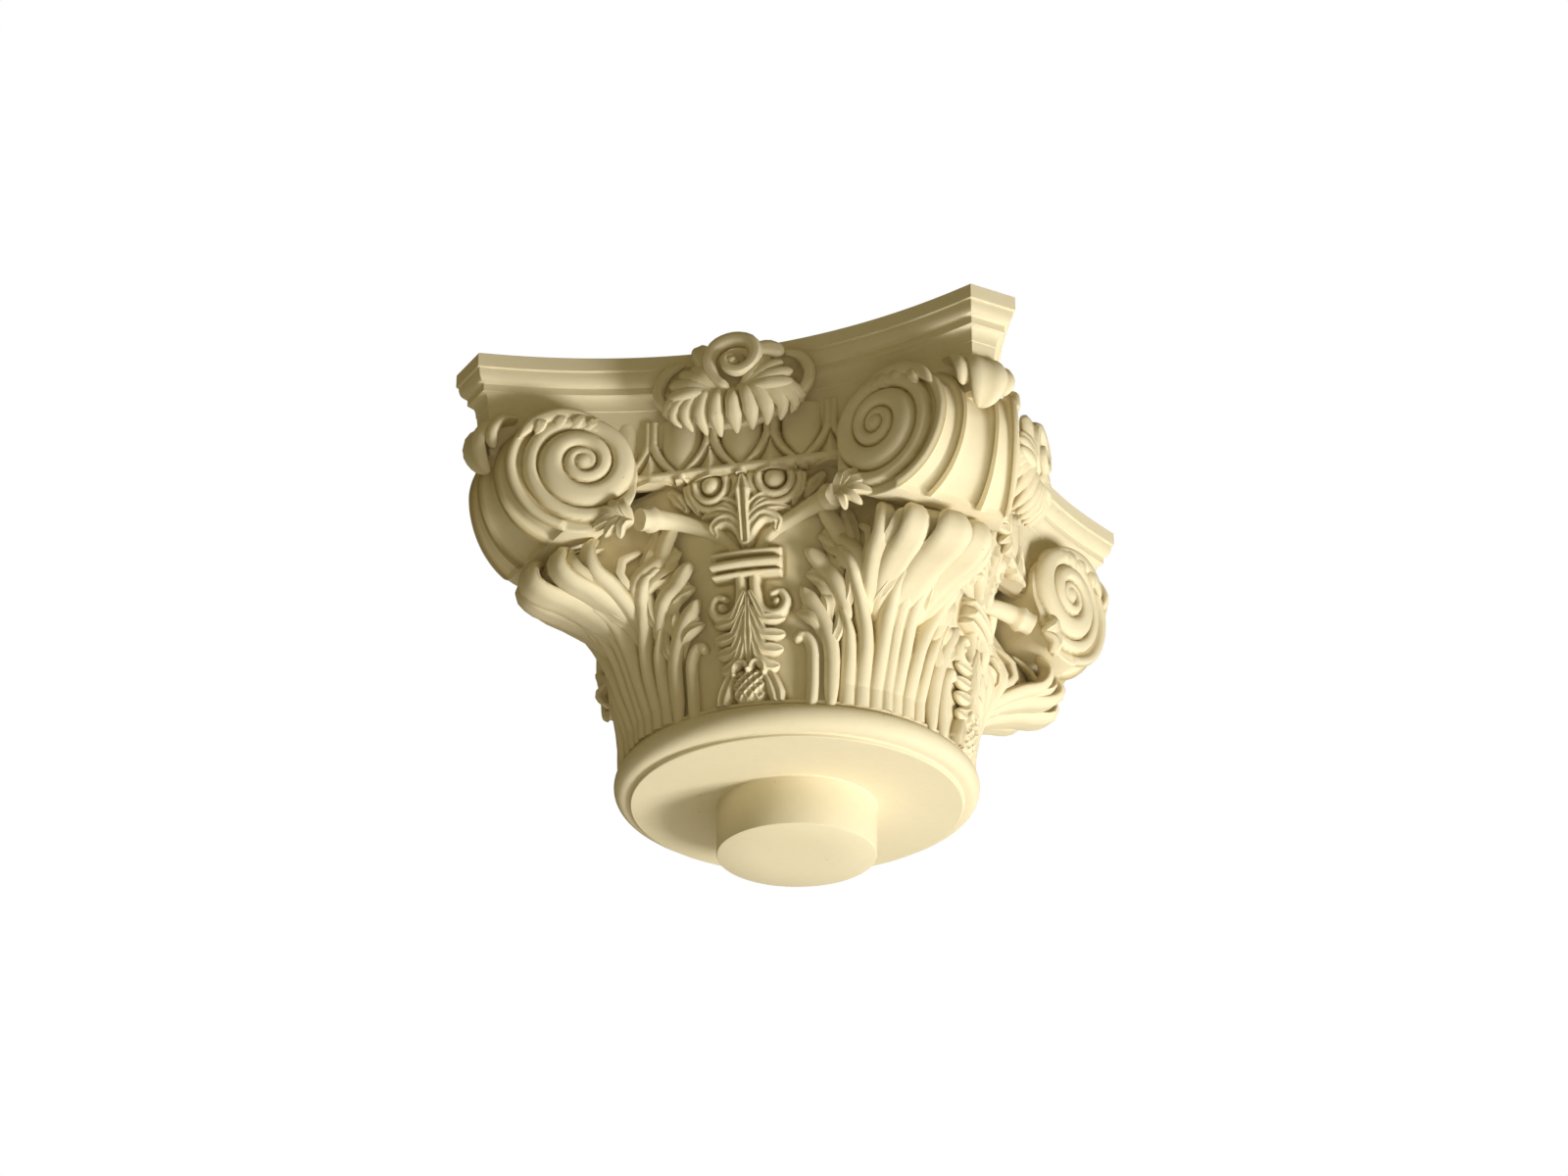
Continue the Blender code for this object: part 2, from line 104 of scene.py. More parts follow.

# Sections of leaves: the middle groove's width, the underside's depth and its painted shade, and the shares
# of the length over which root and tip are rounded off, down to a least share of the width
GROOVE_WIDTH = 0.30
UNDERSIDE = 0.6
UNDERSIDE_SHADE = 0.8
ROOT_END = 0.06
TIP_END = 0.14
LEAST_END = 0.04

# Reflections in the middle of the front face and in the upright plane through its right corner
FACE_MIRROR = np.diag([-1.0, 1.0, 1.0])
CORNER_MIRROR = np.array([[0.0, -1.0, 0.0], [-1.0, 0.0, 0.0], [0.0, 0.0, 1.0]])

# The stone's noises and cells to a metre, and its pits in shares of a cell
CLOUD_SCALE = 9.0
SPECK_SCALE = 160.0
GRAIN_SCALE = 900.0
CELL_SCALE = 95.0
PIT_RADIUS = 0.10
PITLESS_SHARE = 0.90
BUMP_DEPTH = 0.00035

# Each light's name, place, size, watts and colour, and the point that all are turned to
LIGHTS = (("key", (2.15, -0.42, -1.45), 0.8, 70.0, (1.0, 0.99, 0.955)),
          ("front", (0.9, -2.3, -0.9), 1.4, 6.0, (1.0, 0.92, 0.68)),
          ("crown", (-1.2, -1.6, 2.6), 1.8, 4.0, (1.0, 0.93, 0.74)),
          ("back", (-0.4, 2.8, 2.6), 2.5, 95.0, (1.0, 0.95, 0.82)))
LIT_POINT = (0.0, 0.0, 0.18)


def unit(vectors):
    """Vectors scaled to length one."""
    return vectors / np.maximum(np.linalg.norm(vectors, axis=-1, keepdims=True), 1e-9)


def ease(low, high, value):
    """Share that grows from 0 at low to 1 at high, with level ends: 3t^2 - 2t^3."""
    share = np.clip((value - low) / (high - low), 0.0, 1.0)
    return share * share * (3.0 - 2.0 * share)


def rounded(offset, power=2, edge=0.5):
    """Rounded section over an offset from -1 to 1, (1 - |offset|^power)^edge, and 0 beyond it."""
    return np.clip(1 - np.abs(offset) ** power, 0, 1) ** edge


def placed(x, y, z):
    """Points from their three coordinates, each a number or a grid."""
    return np.stack(np.broadcast_arrays(x, y, z), axis=-1)


def through(points, count):
    """Smooth curve through the points: a cubic between each two whose slopes follow their neighbours."""
    points = np.asarray(points, dtype=float)
    padded = np.concatenate([2 * points[:1] - points[1:2], points, 2 * points[-1:] - points[-2:-1]])
    place = np.linspace(0, len(points) - 1, count)
    start = np.minimum(place.astype(int), len(points) - 2)
    t = (place - start)[:, None]
    a, b, c, d = (padded[start + i] for i in range(4))
    return 0.5 * (2 * b + (c - a) * t + (2 * a - 5 * b + 4 * c - d) * t ** 2
                  + (3 * b - a - 3 * c + d) * t ** 3)


def along(points, share):
    """Points of the smooth curve at given shares of its length."""
    dense = through(points, 200)
    steps = np.linalg.norm(np.diff(dense, axis=0), axis=1)
    length = np.concatenate([[0], np.cumsum(steps)])
    return np.stack([np.interp(share * length[-1], length, column) for column in dense.T], axis=1)


def along_list(values, share):
    """Value of an evenly spaced list at each share from 0 to 1."""
    values = np.atleast_1d(values)
    count = max(len(values), 2)
    return np.interp(share, np.linspace(0, 1, count), np.resize(values, count))


def circle(count):
    """Angles evenly spaced round a circle."""
    return 2 * math.pi * np.arange(count) / count


def grid_faces(rows, columns, closed=False):
    """Quads of a grid of points, joined from the last column to the first where it is closed."""
    index = np.arange(rows * columns).reshape(rows, columns)
    if closed:
        index = np.concatenate([index, index[:, :1]], axis=1)
    corners = (index[:-1, :-1], index[:-1, 1:], index[1:, 1:], index[1:, :-1])
    return np.stack(corners, axis=-1).reshape(-1, 4)


def fan(ring, centre):
    """Triangles from a closed ring of points to one centre point."""
    return np.stack([ring, np.roll(ring, -1), np.full(len(ring), centre)], axis=1)


def outward(points, faces):
    """Turns faces round where the volume that they close is negative."""
    total = 0.0
    for block in faces:
        corners = points[block]
        for i in range(1, block.shape[1] - 1):
            lean = np.cross(corners[:, i], corners[:, i + 1])
            total += np.einsum("ij,ij->i", corners[:, 0], lean).sum()
    return [block[:, ::-1] for block in faces] if total < 0 else faces


def solid(points, quads, triangles, hollow=None):
    """One closed part: its points, its faces turned outwards, and the painted shade of each point, mostly
    how deep in a hollow it lies, with 0 for the points after the last value."""
    depth = np.zeros(len(points))
    if hollow is not None:
        depth[:hollow.size] = hollow.ravel()
    quads, triangles = outward(points, [quads, triangles])
    return points, quads, triangles, depth


def tube(rings, first, last, hollow=None):
    """Closed part from rows of rings, with each of its two ends closed to a point."""
    rows, around = rings.shape[:2]
    ring = np.arange(around)
    caps = np.concatenate([fan(ring[::-1], rows * around),
                           fan((rows - 1) * around + ring, rows * around + 1)])
    points = np.concatenate([rings.reshape(-1, 3), [first, last]])
    return solid(points, grid_faces(rows, around, closed=True), caps, hollow)


def backed(sheet, back, hollow):
    """Closed part from a sheet of rows of points, whose border is closed back to one point."""
    rows, columns = sheet.shape[:2]
    index = np.arange(rows * columns).reshape(rows, columns)
    ring = np.concatenate([index[0, :-1], index[:-1, -1], index[-1, :0:-1], index[:0:-1, 0]])
    points = np.concatenate([sheet.reshape(-1, 3), [back]])
    return solid(points, grid_faces(rows, columns), fan(ring[::-1], rows * columns), hollow)


def quarter_turn(count):
    """Matrix that turns rows of coordinates by quarters of a circle about the height."""
    cos, sin = math.cos(count * math.pi / 2), math.sin(count * math.pi / 2)
    return np.array([[cos, sin, 0], [-sin, cos, 0], [0, 0, 1]])


def moved(parts, matrix):
    """The same parts turned or mirrored by a matrix; after a mirror their faces are turned back
    outwards."""
    way = -1 if np.linalg.det(matrix) < 0 else 1
    return [(points @ matrix, quads[:, ::way], triangles[:, ::way], hollow)
            for points, quads, triangles, hollow in parts]


def make_piece(name, parts, crisp):
    """Mesh object from closed parts given in modules; edges bent more than crisp degrees stay
    sharp."""
    corners, sizes, shift = [], [], 0
    for points, quads, triangles, _ in parts:
        corners += [(quads + shift).ravel(), (triangles + shift).ravel()]
        sizes += [np.full(len(quads), 4), np.full(len(triangles), 3)]
        shift += len(points)
    points = np.concatenate([part[0] for part in parts]) * MODULE
    hollows = np.concatenate([part[3] for part in parts])
    corners = np.concatenate(corners).astype(np.int32)
    sizes = np.concatenate(sizes)
    starts = np.concatenate([[0], np.cumsum(sizes)[:-1]]).astype(np.int32)
    mesh = bpy.data.meshes.new(name)
    mesh.vertices.add(len(points))
    mesh.vertices.foreach_set("co", points.ravel())
    mesh.loops.add(len(corners))
    mesh.loops.foreach_set("vertex_index", corners)
    mesh.polygons.add(len(sizes))
    mesh.polygons.foreach_set("loop_start", starts)
    mesh.update(calc_edges=True)
    if mesh.validate():
        raise RuntimeError(name + " has faces that are not valid")
    # Each point's painted shade goes into the hollow attribute that the stone's colour reads
    shade = mesh.attributes.new("hollow", "FLOAT", "POINT")
    shade.data.foreach_set("value", hollows.astype(np.float32))
    mesh.shade_smooth()
    mesh.set_sharp_from_angle(angle=math.radians(crisp))
    piece = bpy.data.objects.new(name, mesh)
    bpy.context.scene.collection.objects.link(piece)
    mesh.materials.append(stone())
    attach(piece, "root")
    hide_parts("capital")


def bell_radius(height):
    """Radius of the plain bell: the foot's, plus a gain that grows with the square of the height."""
    share = np.clip((height - NECK_TOP) / (LIP_HEIGHT - NECK_TOP), 0.0, 1.0)
    return BELL_FOOT + (BELL_LIP - BELL_FOOT) * share ** 2


def leaf_radius(turn, height):
    """Radius of bell and corner leaf together: on the diagonal the leaf's profile, and away from it
    the bell plus the flare times (1 - (angle / spread)^2)^1.5."""
    bell = bell_radius(height)
    profile = through(np.column_stack([LEAF_HEIGHTS, LEAF_REACHES]), 400)
    flare = np.maximum(np.interp(height, profile[:, 0], profile[:, 1]) - bell, 0.0)
    spread = np.radians(np.interp(height, SPREAD_HEIGHTS, SPREAD_DEGREES))
    across = np.clip(np.abs(np.abs(turn) - QUARTER) / spread, 0.0, 1.0)
    return bell + flare * (1.0 - across ** 2) ** 1.5


def on_bell(spots, lift):
    """Places on bell and leaf: each spot is an angle in degrees from the face's middle and a height."""
    turn = np.radians(spots[:, 0])
    radius = leaf_radius(turn, spots[:, 1]) + lift
    return placed(radius * np.sin(turn), -radius * np.cos(turn), spots[:, 1])


def on_front(depth):
    """Places on an upright plane before the face: each spot is a sideways place and a height."""
    def place(spots, lift):
        return placed(spots[:, 0], -(depth + lift), spots[:, 1])
    return place


def on_coil(spots, lift):
    """Places on the tilted plane of the right volute: spots run out from its eye and up."""
    across = EYE_ACROSS + spots[..., 0] * math.cos(FACE_TILT) - lift * math.sin(FACE_TILT)
    depth = EYE_DEPTH + spots[..., 0] * math.sin(FACE_TILT) + lift * math.cos(FACE_TILT)
    return placed(across, -depth, EYE_HEIGHT + spots[..., 1])


def stations_of(count):
    """Shares along a leaf, closer together towards both ends: s - 0.12 sin(2 pi s)."""
    even = np.linspace(0, 1, count)
    return even - 0.12 * np.sin(2 * math.pi * even)


def leaf_section(around, groove):
    """Closed section of a leaf: its top is |sin|^1.2 less a groove e^-(x / width)^2 along the
    middle, and its underside is a shallower half ellipse."""
    turn = circle(around)
    across, rise = np.cos(turn), np.sin(turn)
    top = np.abs(rise) ** 1.2 * (1.0 - groove * np.exp(-(across / GROOVE_WIDTH) ** 2))
    return across, np.where(rise >= 0, top, -UNDERSIDE * np.abs(rise))


def swept(middle, across, normal, widths, heights, groove, around):
    """Closed leaf along a line: its section is scaled by half width and height at each station, and
    both ends are rounded off as quarters of an ellipse."""
    share = stations_of(len(middle))
    tip = np.clip((share - (1 - TIP_END)) / TIP_END, 0, 1)
    root = np.clip(1 - share / ROOT_END, 0, 1)
    ends = np.maximum(np.sqrt(np.clip(1 - tip ** 2 - root ** 2, 0, 1)), LEAST_END)
    width = (along_list(widths, share) * ends)[:, None, None]
    height = (along_list(heights, share) * ends)[:, None, None]
    side, rise = leaf_section(around, groove)
    rings = (middle[:, None] + across[:, None] * width * side[:, None]
             + normal[:, None] * height * rise[:, None])
    # Painted shade: darker along the middle groove on top and over the whole underside
    dip = groove * np.exp(-(side / GROOVE_WIDTH) ** 2)
    shade = np.where(rise > 0, dip, UNDERSIDE_SHADE)
    return tube(rings, middle[0], middle[-1], np.broadcast_to(shade, rings.shape[:2]))


def leaflet(surface, spots, widths, heights, lifts, groove, stations=16, around=14):
    """Leaf that follows a curve of spots on a surface, raised from it by the lifts."""
    share = stations_of(stations)
    path = along(spots, share)
    lift = along_list(lifts, share)
    middle = surface(path, lift)
    normal = unit(surface(path, lift + 0.01) - middle)
    forward = unit(np.gradient(middle, axis=0))
    across = unit(np.cross(forward, normal))
    normal = unit(np.cross(across, forward))
    return swept(middle, across, normal, widths, heights, groove, around)


def dome(centre, radii, rings=14, segments=20):
    """Closed ellipsoid whose poles point along the depth."""
    tilt = np.linspace(0, math.pi, rings + 2)[1:-1, None]
    turn = circle(segments)
    ball = placed(np.sin(tilt) * np.cos(turn), -np.cos(tilt), np.sin(tilt) * np.sin(turn))
    centre, pole = np.array(centre), np.array([0.0, radii[1], 0.0])
    return tube(ball * radii + centre, centre - pole, centre + pole)


def blurred(values, reach):
    """Mean of a grid's values over a square of cells, by running sums along both ways."""
    for axis in (0, 1):
        pad = [(0, 0), (0, 0)]
        pad[axis] = (reach + 1, reach)
        total = np.cumsum(np.pad(values, pad, mode="edge"), axis=axis)
        ahead = np.take(total, range(2 * reach + 1, total.shape[axis]), axis=axis)
        behind = np.take(total, range(0, total.shape[axis] - 2 * reach - 1), axis=axis)
        values = (ahead - behind) / (2 * reach + 1)
    return values


class Carving:
    """Relief on a grid of places. A stroke is a ridge along a curve, and the relief keeps the higher
    of what is there and the ridge."""

    def __init__(self, across, height, stretch):
        """Places are an angle or a width, and a height; stretch turns the first into modules."""
        self.across, self.height, self.stretch = across, height, stretch
        self.relief = np.zeros_like(across)

    def nearest(self, spots, reach, count=28):
        """Distance of each place from a curve, and the share along the curve of its nearest point."""
        path = through(spots, count)
        margin = 1.1 * reach
        wide = 1.3 * margin / float(np.mean(self.stretch))
        near = ((self.across > path[:, 0].min() - wide) & (self.across < path[:, 0].max() + wide)
                & (self.height > path[:, 1].min() - margin)
                & (self.height < path[:, 1].max() + margin))
        x, z, scale = self.across[near], self.height[near], self.stretch[near]
        best = np.full(x.shape, 1e9)
        share = np.zeros_like(x)
        for i in range(count - 1):
            (ax, az), (bx, bz) = path[i], path[i + 1]
            dx, dz = (bx - ax) * scale, bz - az
            px, pz = (x - ax) * scale, z - az
            t = np.clip((px * dx + pz * dz) / np.maximum(dx * dx + dz * dz, 1e-9), 0, 1)
            gap = np.hypot(px - t * dx, pz - t * dz)
            closer = gap < best
            best = np.where(closer, gap, best)
            share = np.where(closer, (i + t) / (count - 1), share)
        return near, best, share

    def stroke(self, spots, widths, heights, groove=0.0, edge=0.45):
        """Ridge with a rounded section, (1 - u^2)^edge, and a groove along its middle."""
        near, gap, share = self.nearest(spots, np.max(widths))
        u = np.clip(gap / np.maximum(along_list(widths, share), 1e-6), 0, 1)
        body = (1.0 - u ** 2) ** edge * (1.0 - groove * np.exp(-(u / GROOVE_WIDTH) ** 2))
        rise = np.where(u < 1, along_list(heights, share) * body, 0.0)
        self.relief[near] = np.maximum(self.relief[near], rise)

    def ball(self, x, z, across, height, rise):
        """Half of an ellipsoid: rise times the root of 1 - u^2."""
        u = ((self.across - x) * self.stretch / across) ** 2 + ((self.height - z) / height) ** 2
        self.relief = np.maximum(self.relief, rise * np.sqrt(np.clip(1 - u, 0, 1)))

    def hollows(self, reach=5, full=0.018):
        """How far each place lies below the mean of its neighbourhood, from 0 to 1, used as painted shade
        in the hollows.
        """
        return np.clip((blurred(self.relief, reach) - self.relief) / full, 0, 1)


def carve_leaf(carving):
    """Half of a corner leaf's pipes, which rise from the neck, and its midrib."""
    for widths, rise, *spots in (
            ((0.046, 0.046, 0.040, 0.020), 0.070, (31.4, 0.46), (31.6, 0.70), (31.0, 0.86), (29.2, 0.99)),
            ((0.052, 0.052, 0.046, 0.036, 0.020), 0.080,
             (36.4, 0.46), (36.4, 0.70), (35.8, 0.88), (32.6, 1.12), (29.8, 1.30)),
            ((0.050, 0.050, 0.050, 0.040), 0.080, (41.3, 0.46), (41.3, 0.80), (41.6, 1.02), (41.4, 1.18))):
        carving.stroke(spots, widths, (0.045, rise, rise + 0.01, rise), edge=0.5)
    carving.stroke([(45.0, 0.46), (45.0, 0.90), (45.0, 1.20)], (0.040, 0.046, 0.050), (0.055, 0.075, 0.08))


def lobe_ribs():
    """The rib of each lobe of a corner leaf, from its foot to its tip."""
    return [leaflet(on_bell, spots, widths, rise, lifts, groove, stations, around)
            for widths, rise, lifts, groove, stations, around, *spots in (
                ((0.034, 0.034, 0.030, 0.034, 0.022), 0.045, 0.020, 0.0, 24, 12,
                 (19.6, 0.40), (20.4, 0.66), (19.8, 0.79), (17.2, 0.85), (14.4, 0.815)),
                ((0.044, 0.044, 0.042, 0.046, 0.014), 0.05, (0.030, 0.030, 0.045, 0.035), 0.12, 26, 14,
                 (25.8, 0.40), (26.2, 0.70), (24.4, 0.87), (20.6, 1.01), (16.0, 1.12)),
                ((0.030, 0.044, 0.050, 0.050, 0.020), 0.05, (0.020, 0.055, 0.055, 0.040), 0.22, 22, 14,
                 (30.4, 0.92), (28.4, 1.04), (25.4, 1.16), (21.8, 1.26), (17.4, 1.33)),
                ((0.030, 0.046, 0.054, 0.052, 0.020), 0.05, (0.020, 0.060, 0.060, 0.045), 0.22, 22, 14,
                 (33.8, 1.06), (31.6, 1.20), (28.8, 1.35), (25.4, 1.47), (20.8, 1.57)))]


def lobe_blades():
    """The plump leaflets of the lobes; each row is its width, its lift and its spots."""
    rise = 0.045
    return [leaflet(on_bell, spots, np.array((0.45, 0.9, 1.0, 0.85, 0.30)) * width,
                    np.array((0.8, 1.0, 1.0, 0.7, 0.4)) * rise, (0.0, lift, lift, 0.6 * lift), 0.30, 14, 12)
            for width, lift, *spots in (
                (0.042, 0.040, (23.6, 0.87), (19.2, 0.945), (15.0, 0.985)),
                (0.042, 0.040, (24.6, 0.88), (24.8, 0.99), (23.2, 1.08)),
                (0.034, 0.040, (26.0, 0.80), (27.8, 0.90), (27.4, 1.00)),
                (0.048, 0.040, (26.6, 1.07), (21.8, 1.17), (17.6, 1.20)),
                (0.046, 0.040, (27.4, 1.06), (27.4, 1.21), (25.0, 1.36)),
                (0.036, 0.040, (29.4, 0.97), (30.2, 1.09), (29.2, 1.20)),
                (0.052, 0.040, (29.8, 1.26), (25.8, 1.37), (21.4, 1.42)),
                (0.042, 0.040, (31.2, 1.16), (27.4, 1.25), (23.2, 1.30)),
                (0.050, 0.040, (30.2, 1.26), (30.8, 1.43), (28.6, 1.59)),
                (0.044, 0.040, (32.2, 1.16), (33.6, 1.31), (32.2, 1.46)),
                (0.036, 0.040, (33.6, 1.07), (35.6, 1.19), (35.0, 1.31)),
                (0.040, 0.075, (37.2, 1.02), (39.4, 1.14), (38.6, 1.28), (36.6, 1.45)))]


def leaf_lobes():
    """Half of a corner leaf's lobes, each a rib with plump leaflets, and the leaves of the drop."""
    parts = lobe_ribs() + lobe_blades()
    # Low plates that join the leaflets of a lobe
    for width, *spots in ((0.070, (25.2, 0.80), (23.6, 0.90), (20.8, 1.00), (18.2, 1.06)),
                          (0.088, (29.8, 0.94), (27.4, 1.06), (24.2, 1.18), (20.8, 1.26)),
                          (0.098, (33.4, 1.08), (31.2, 1.22), (28.2, 1.36), (24.6, 1.48))):
        parts.append(leaflet(on_bell, spots, (0.5 * width, width, width, 0.7 * width), 0.030,
                             (0.0, 0.025, 0.025), 0.0, 14, 12))
    # Drooping leaves of the drop under the tie
    for width, root, bend, tip in ((0.036, (0.3, 1.12), (4.6, 0.955), (11.6, 0.955)),
                                   (0.040, (0.3, 1.04), (4.6, 0.870), (11.8, 0.865)),
                                   (0.044, (0.3, 0.97), (4.2, 0.790), (11.0, 0.780)),
                                   (0.044, (0.3, 0.90), (3.6, 0.720), (9.8, 0.685))):
        fall = (0.42 * root[0] + 0.58 * bend[0], 0.42 * root[1] + 0.58 * bend[1])
        sag = ((bend[0] + tip[0]) / 2, tip[1] - 0.006)
        parts.append(leaflet(on_bell, [root, fall, bend, sag, tip],
                             (0.3 * width, 0.7 * width, width, width, 0.4 * width),
                             (0.035, 0.045, 0.045, 0.03), (0.045, 0.040, 0.030, 0.020), 0.35, 20, 12))
    return parts


def carve_pendant(carving):
    """Half of the drop below the tie: a strand that ends in a scroll, a rib and a latticed seed
    cone."""
    carving.stroke([(2.3, 1.24), (2.2, 1.12), (3.4, 1.03), (6.6, 0.985), (10.2, 0.995), (11.8, 1.050),
                    (10.2, 1.105), (7.6, 1.095)], (0.036, 0.034, 0.030, 0.032, 0.030, 0.026, 0.020),
                   (0.060, 0.065, 0.065, 0.065))
    carving.ball(8.9, 1.052, 0.026, 0.030, 0.060)
    carving.stroke([(0.0, 1.10), (0.0, 0.86), (0.0, 0.72)], (0.012, 0.034, 0.020),
                   (0.080, 0.095, 0.075), 0.3)
    carving.stroke([(0.0, 0.655), (1.4, 0.705), (3.4, 0.708), (4.8, 0.680), (5.0, 0.640)], 0.018, 0.085)
    carving.ball(0.0, 0.575, 0.105, 0.110, 0.060)
    modules_a_degree, mesh = 0.0163, 0.052
    sideways = carving.across * modules_a_degree
    weave = np.minimum(np.abs((sideways + carving.height) / mesh % 1 - 0.5),
                       np.abs((sideways - carving.height) / mesh % 1 - 0.5))
    cone = (carving.across < 4.9) & (carving.height > 0.480) & (carving.height < 0.66)
    carving.relief += np.where(cone, 0.022 * ease(0.26, 0.04, weave), 0.0)
    carving.stroke([(4.6, 0.680), (6.6, 0.620), (8.6, 0.53), (9.2, 0.46)],
                   (0.016, 0.040, 0.046, 0.034), (0.06, 0.075, 0.07), 0.35)


def carve_upper(carving):
    """Half of the palmette over the tie: leaves, a spike between two cups and small tips."""
    low, high = (0.050, 0.070, 0.070, 0.04), (0.05, 0.06, 0.05)
    for widths, heights, groove, *spots in (
            ((0.022, 0.040, 0.046, 0.034, 0.018), (0.050, 0.070, 0.075, 0.070, 0.05), 0.35,
             (0.4, 1.37), (2.0, 1.48), (5.6, 1.535), (9.4, 1.505), (9.2, 1.455)),
            ((0.020, 0.040, 0.040, 0.010), low, 0.4, (0.4, 1.42), (2.4, 1.53), (7.0, 1.585), (13.0, 1.575)),
            ((0.020, 0.036, 0.034, 0.010), low, 0.4, (0.4, 1.50), (2.2, 1.59), (5.4, 1.635), (9.0, 1.615)),
            ((0.030, 0.034, 0.050, 0.016), (0.08, 0.09, 0.10, 0.06), 0.4,
             (0.2, 1.40), (0.2, 1.58), (0.0, 1.68), (0.0, 1.765)),
            ((0.012, 0.034, 0.020), high, 0.4, (14.2, 1.60), (16.0, 1.68), (17.0, 1.75)),
            ((0.020, 0.046, 0.030), high, 0.4, (18.0, 1.64), (20.0, 1.70), (22.0, 1.75))):
        carving.stroke(spots, widths, heights, groove)
    # The cup is two rings round a ball
    ring = np.radians(np.linspace(-200, 20, 11))
    degrees_a_module = 52
    for reach, rise in ((0.088, 0.070), (0.132, 0.050)):
        spots = [9.0 + np.cos(ring) * reach * degrees_a_module, 1.735 + np.sin(ring) * reach]
        carving.stroke(np.stack(spots, axis=1), 0.024, rise)
    carving.ball(9.0, 1.730, 0.060, 0.060, 0.085)


def carve_tie(carving):
    """Band round the foot of the stems: a broad rib between two thin ones, ended square."""
    step = ease(10.9, 10.3, np.abs(carving.across))
    ribs = ((1.333, 0.022, 0.085), (1.270, 0.034, 0.105), (1.215, 0.020, 0.085))
    body = 0.045 * ease(1.192, 1.200, carving.height) * ease(1.362, 1.354, carving.height)
    for middle, half, rise in ribs:
        body = np.maximum(body, rise * rounded((carving.height - middle) / half, 2, 0.4))
    carving.relief = np.maximum(carving.relief, body * step)


def bell_quarter(columns=281, rows=216):
    """Bell and leaf over a quarter turn: a grid of angle and height on the bell and leaf surface,
    moved along its normal by the carved relief, and closed back to a point on the axis."""
    samples = 2000
    profile = np.linspace(NECK_TOP - 0.015, BAND_TOP - 0.30, samples)
    # Rows lie closer together where the leaf leans out
    steep = np.gradient(leaf_radius(np.full(samples, QUARTER), profile), profile)
    pace = np.cumsum(np.sqrt(1 + 0.35 * np.clip(steep, -4, 4) ** 2))
    heights = np.interp(np.linspace(pace[0], pace[-1], rows), pace, profile)
    turn, height = np.meshgrid(np.linspace(-QUARTER, QUARTER, columns), heights)
    radius = leaf_radius(turn, height)
    base = placed(radius * np.sin(turn), -radius * np.cos(turn), height)
    carving = Carving(np.abs(np.degrees(turn)), height, radius * math.pi / 180)
    carve_leaf(carving)
    carve_pendant(carving)
    carve_upper(carving)
    carve_tie(carving)
    carving.relief *= ease(1.800, 1.755, height)
    normal = unit(np.cross(np.gradient(base, axis=1), np.gradient(base, axis=0)))
    # The hollows of the relief are kept as painted shade
    return backed(base + normal * carving.relief[..., None], (0.0, 0.0, 1.1), carving.hollows())


def coil_line(degrees):
    """Distance of the coil's line from the eye at a total angle, a smooth curve through COIL_LINE."""
    count = 8 * (len(COIL_LINE) - 1) + 1
    smooth = through(np.array(COIL_LINE)[:, None], count)[:, 0]
    return np.interp(degrees, COIL_FIRST + 90.0 * np.linspace(0, len(COIL_LINE) - 1, count), smooth)


def coil_outline(turn):
    """Distance of a volute's edge from its eye: out where the ribbon passes over the corner, in to the
    coil's line behind, and out again to the foot where the coil comes up from the stem."""
    return np.interp(np.degrees(turn), EDGE_ANGLES, EDGE_REACHES)


def coil_relief(reach, turn):
    """Height of a volute's face: one rounded rib lies between each turn of the coil's line and the
    next, (1 - |2 share - 1|^2.6)^0.55 across, and the whole coil rises towards its eye."""
    reach, degrees = np.broadcast_arrays(reach, np.degrees(turn))
    height = 0.055 * np.clip(1 - reach / 0.30, 0, 1) ** 1.1
    for lap in range(-1, 4):
        inner = coil_line(degrees + 360 * (lap + 1))
        gap = coil_line(degrees + 360 * lap) - inner
        share = (reach - inner) / np.maximum(gap, 1e-9)
        rib = rounded(2 * share - 1, 2.6, 0.55) * np.clip(0.55 * gap, 0, 0.052)
        rib = rib * (ease(195, 235, degrees) if lap < 0 else 1.0)
        height = height + np.where((share > 0) & (share < 1), rib, 0.0)
    inset = coil_outline(turn) - reach
    edge_rib = 0.026 * rounded((inset - 0.030) / 0.030)
    height = np.maximum(height, edge_rib * ease(-100, -85, degrees) * ease(60, 30, degrees))
    eye = 0.030 * rounded(reach / EYE_RADIUS) + 0.05 * (reach < EYE_RADIUS)
    return np.maximum(height, eye)


def ribbon_section(across):
    """Height over the ribbon's width: a rounded band in the middle, a deep groove at each side of it
    and a flat rib along each edge."""
    size = np.abs(across)
    band = 0.046 * rounded(size / 0.40, 3)
    rib = 0.034 * ease(0.54, 0.60, size) - 0.012 * ease(0.93, 1.0, size)
    return np.maximum(band, rib) - 0.010 * ease(0.36, 0.42, size) * ease(0.60, 0.54, size)


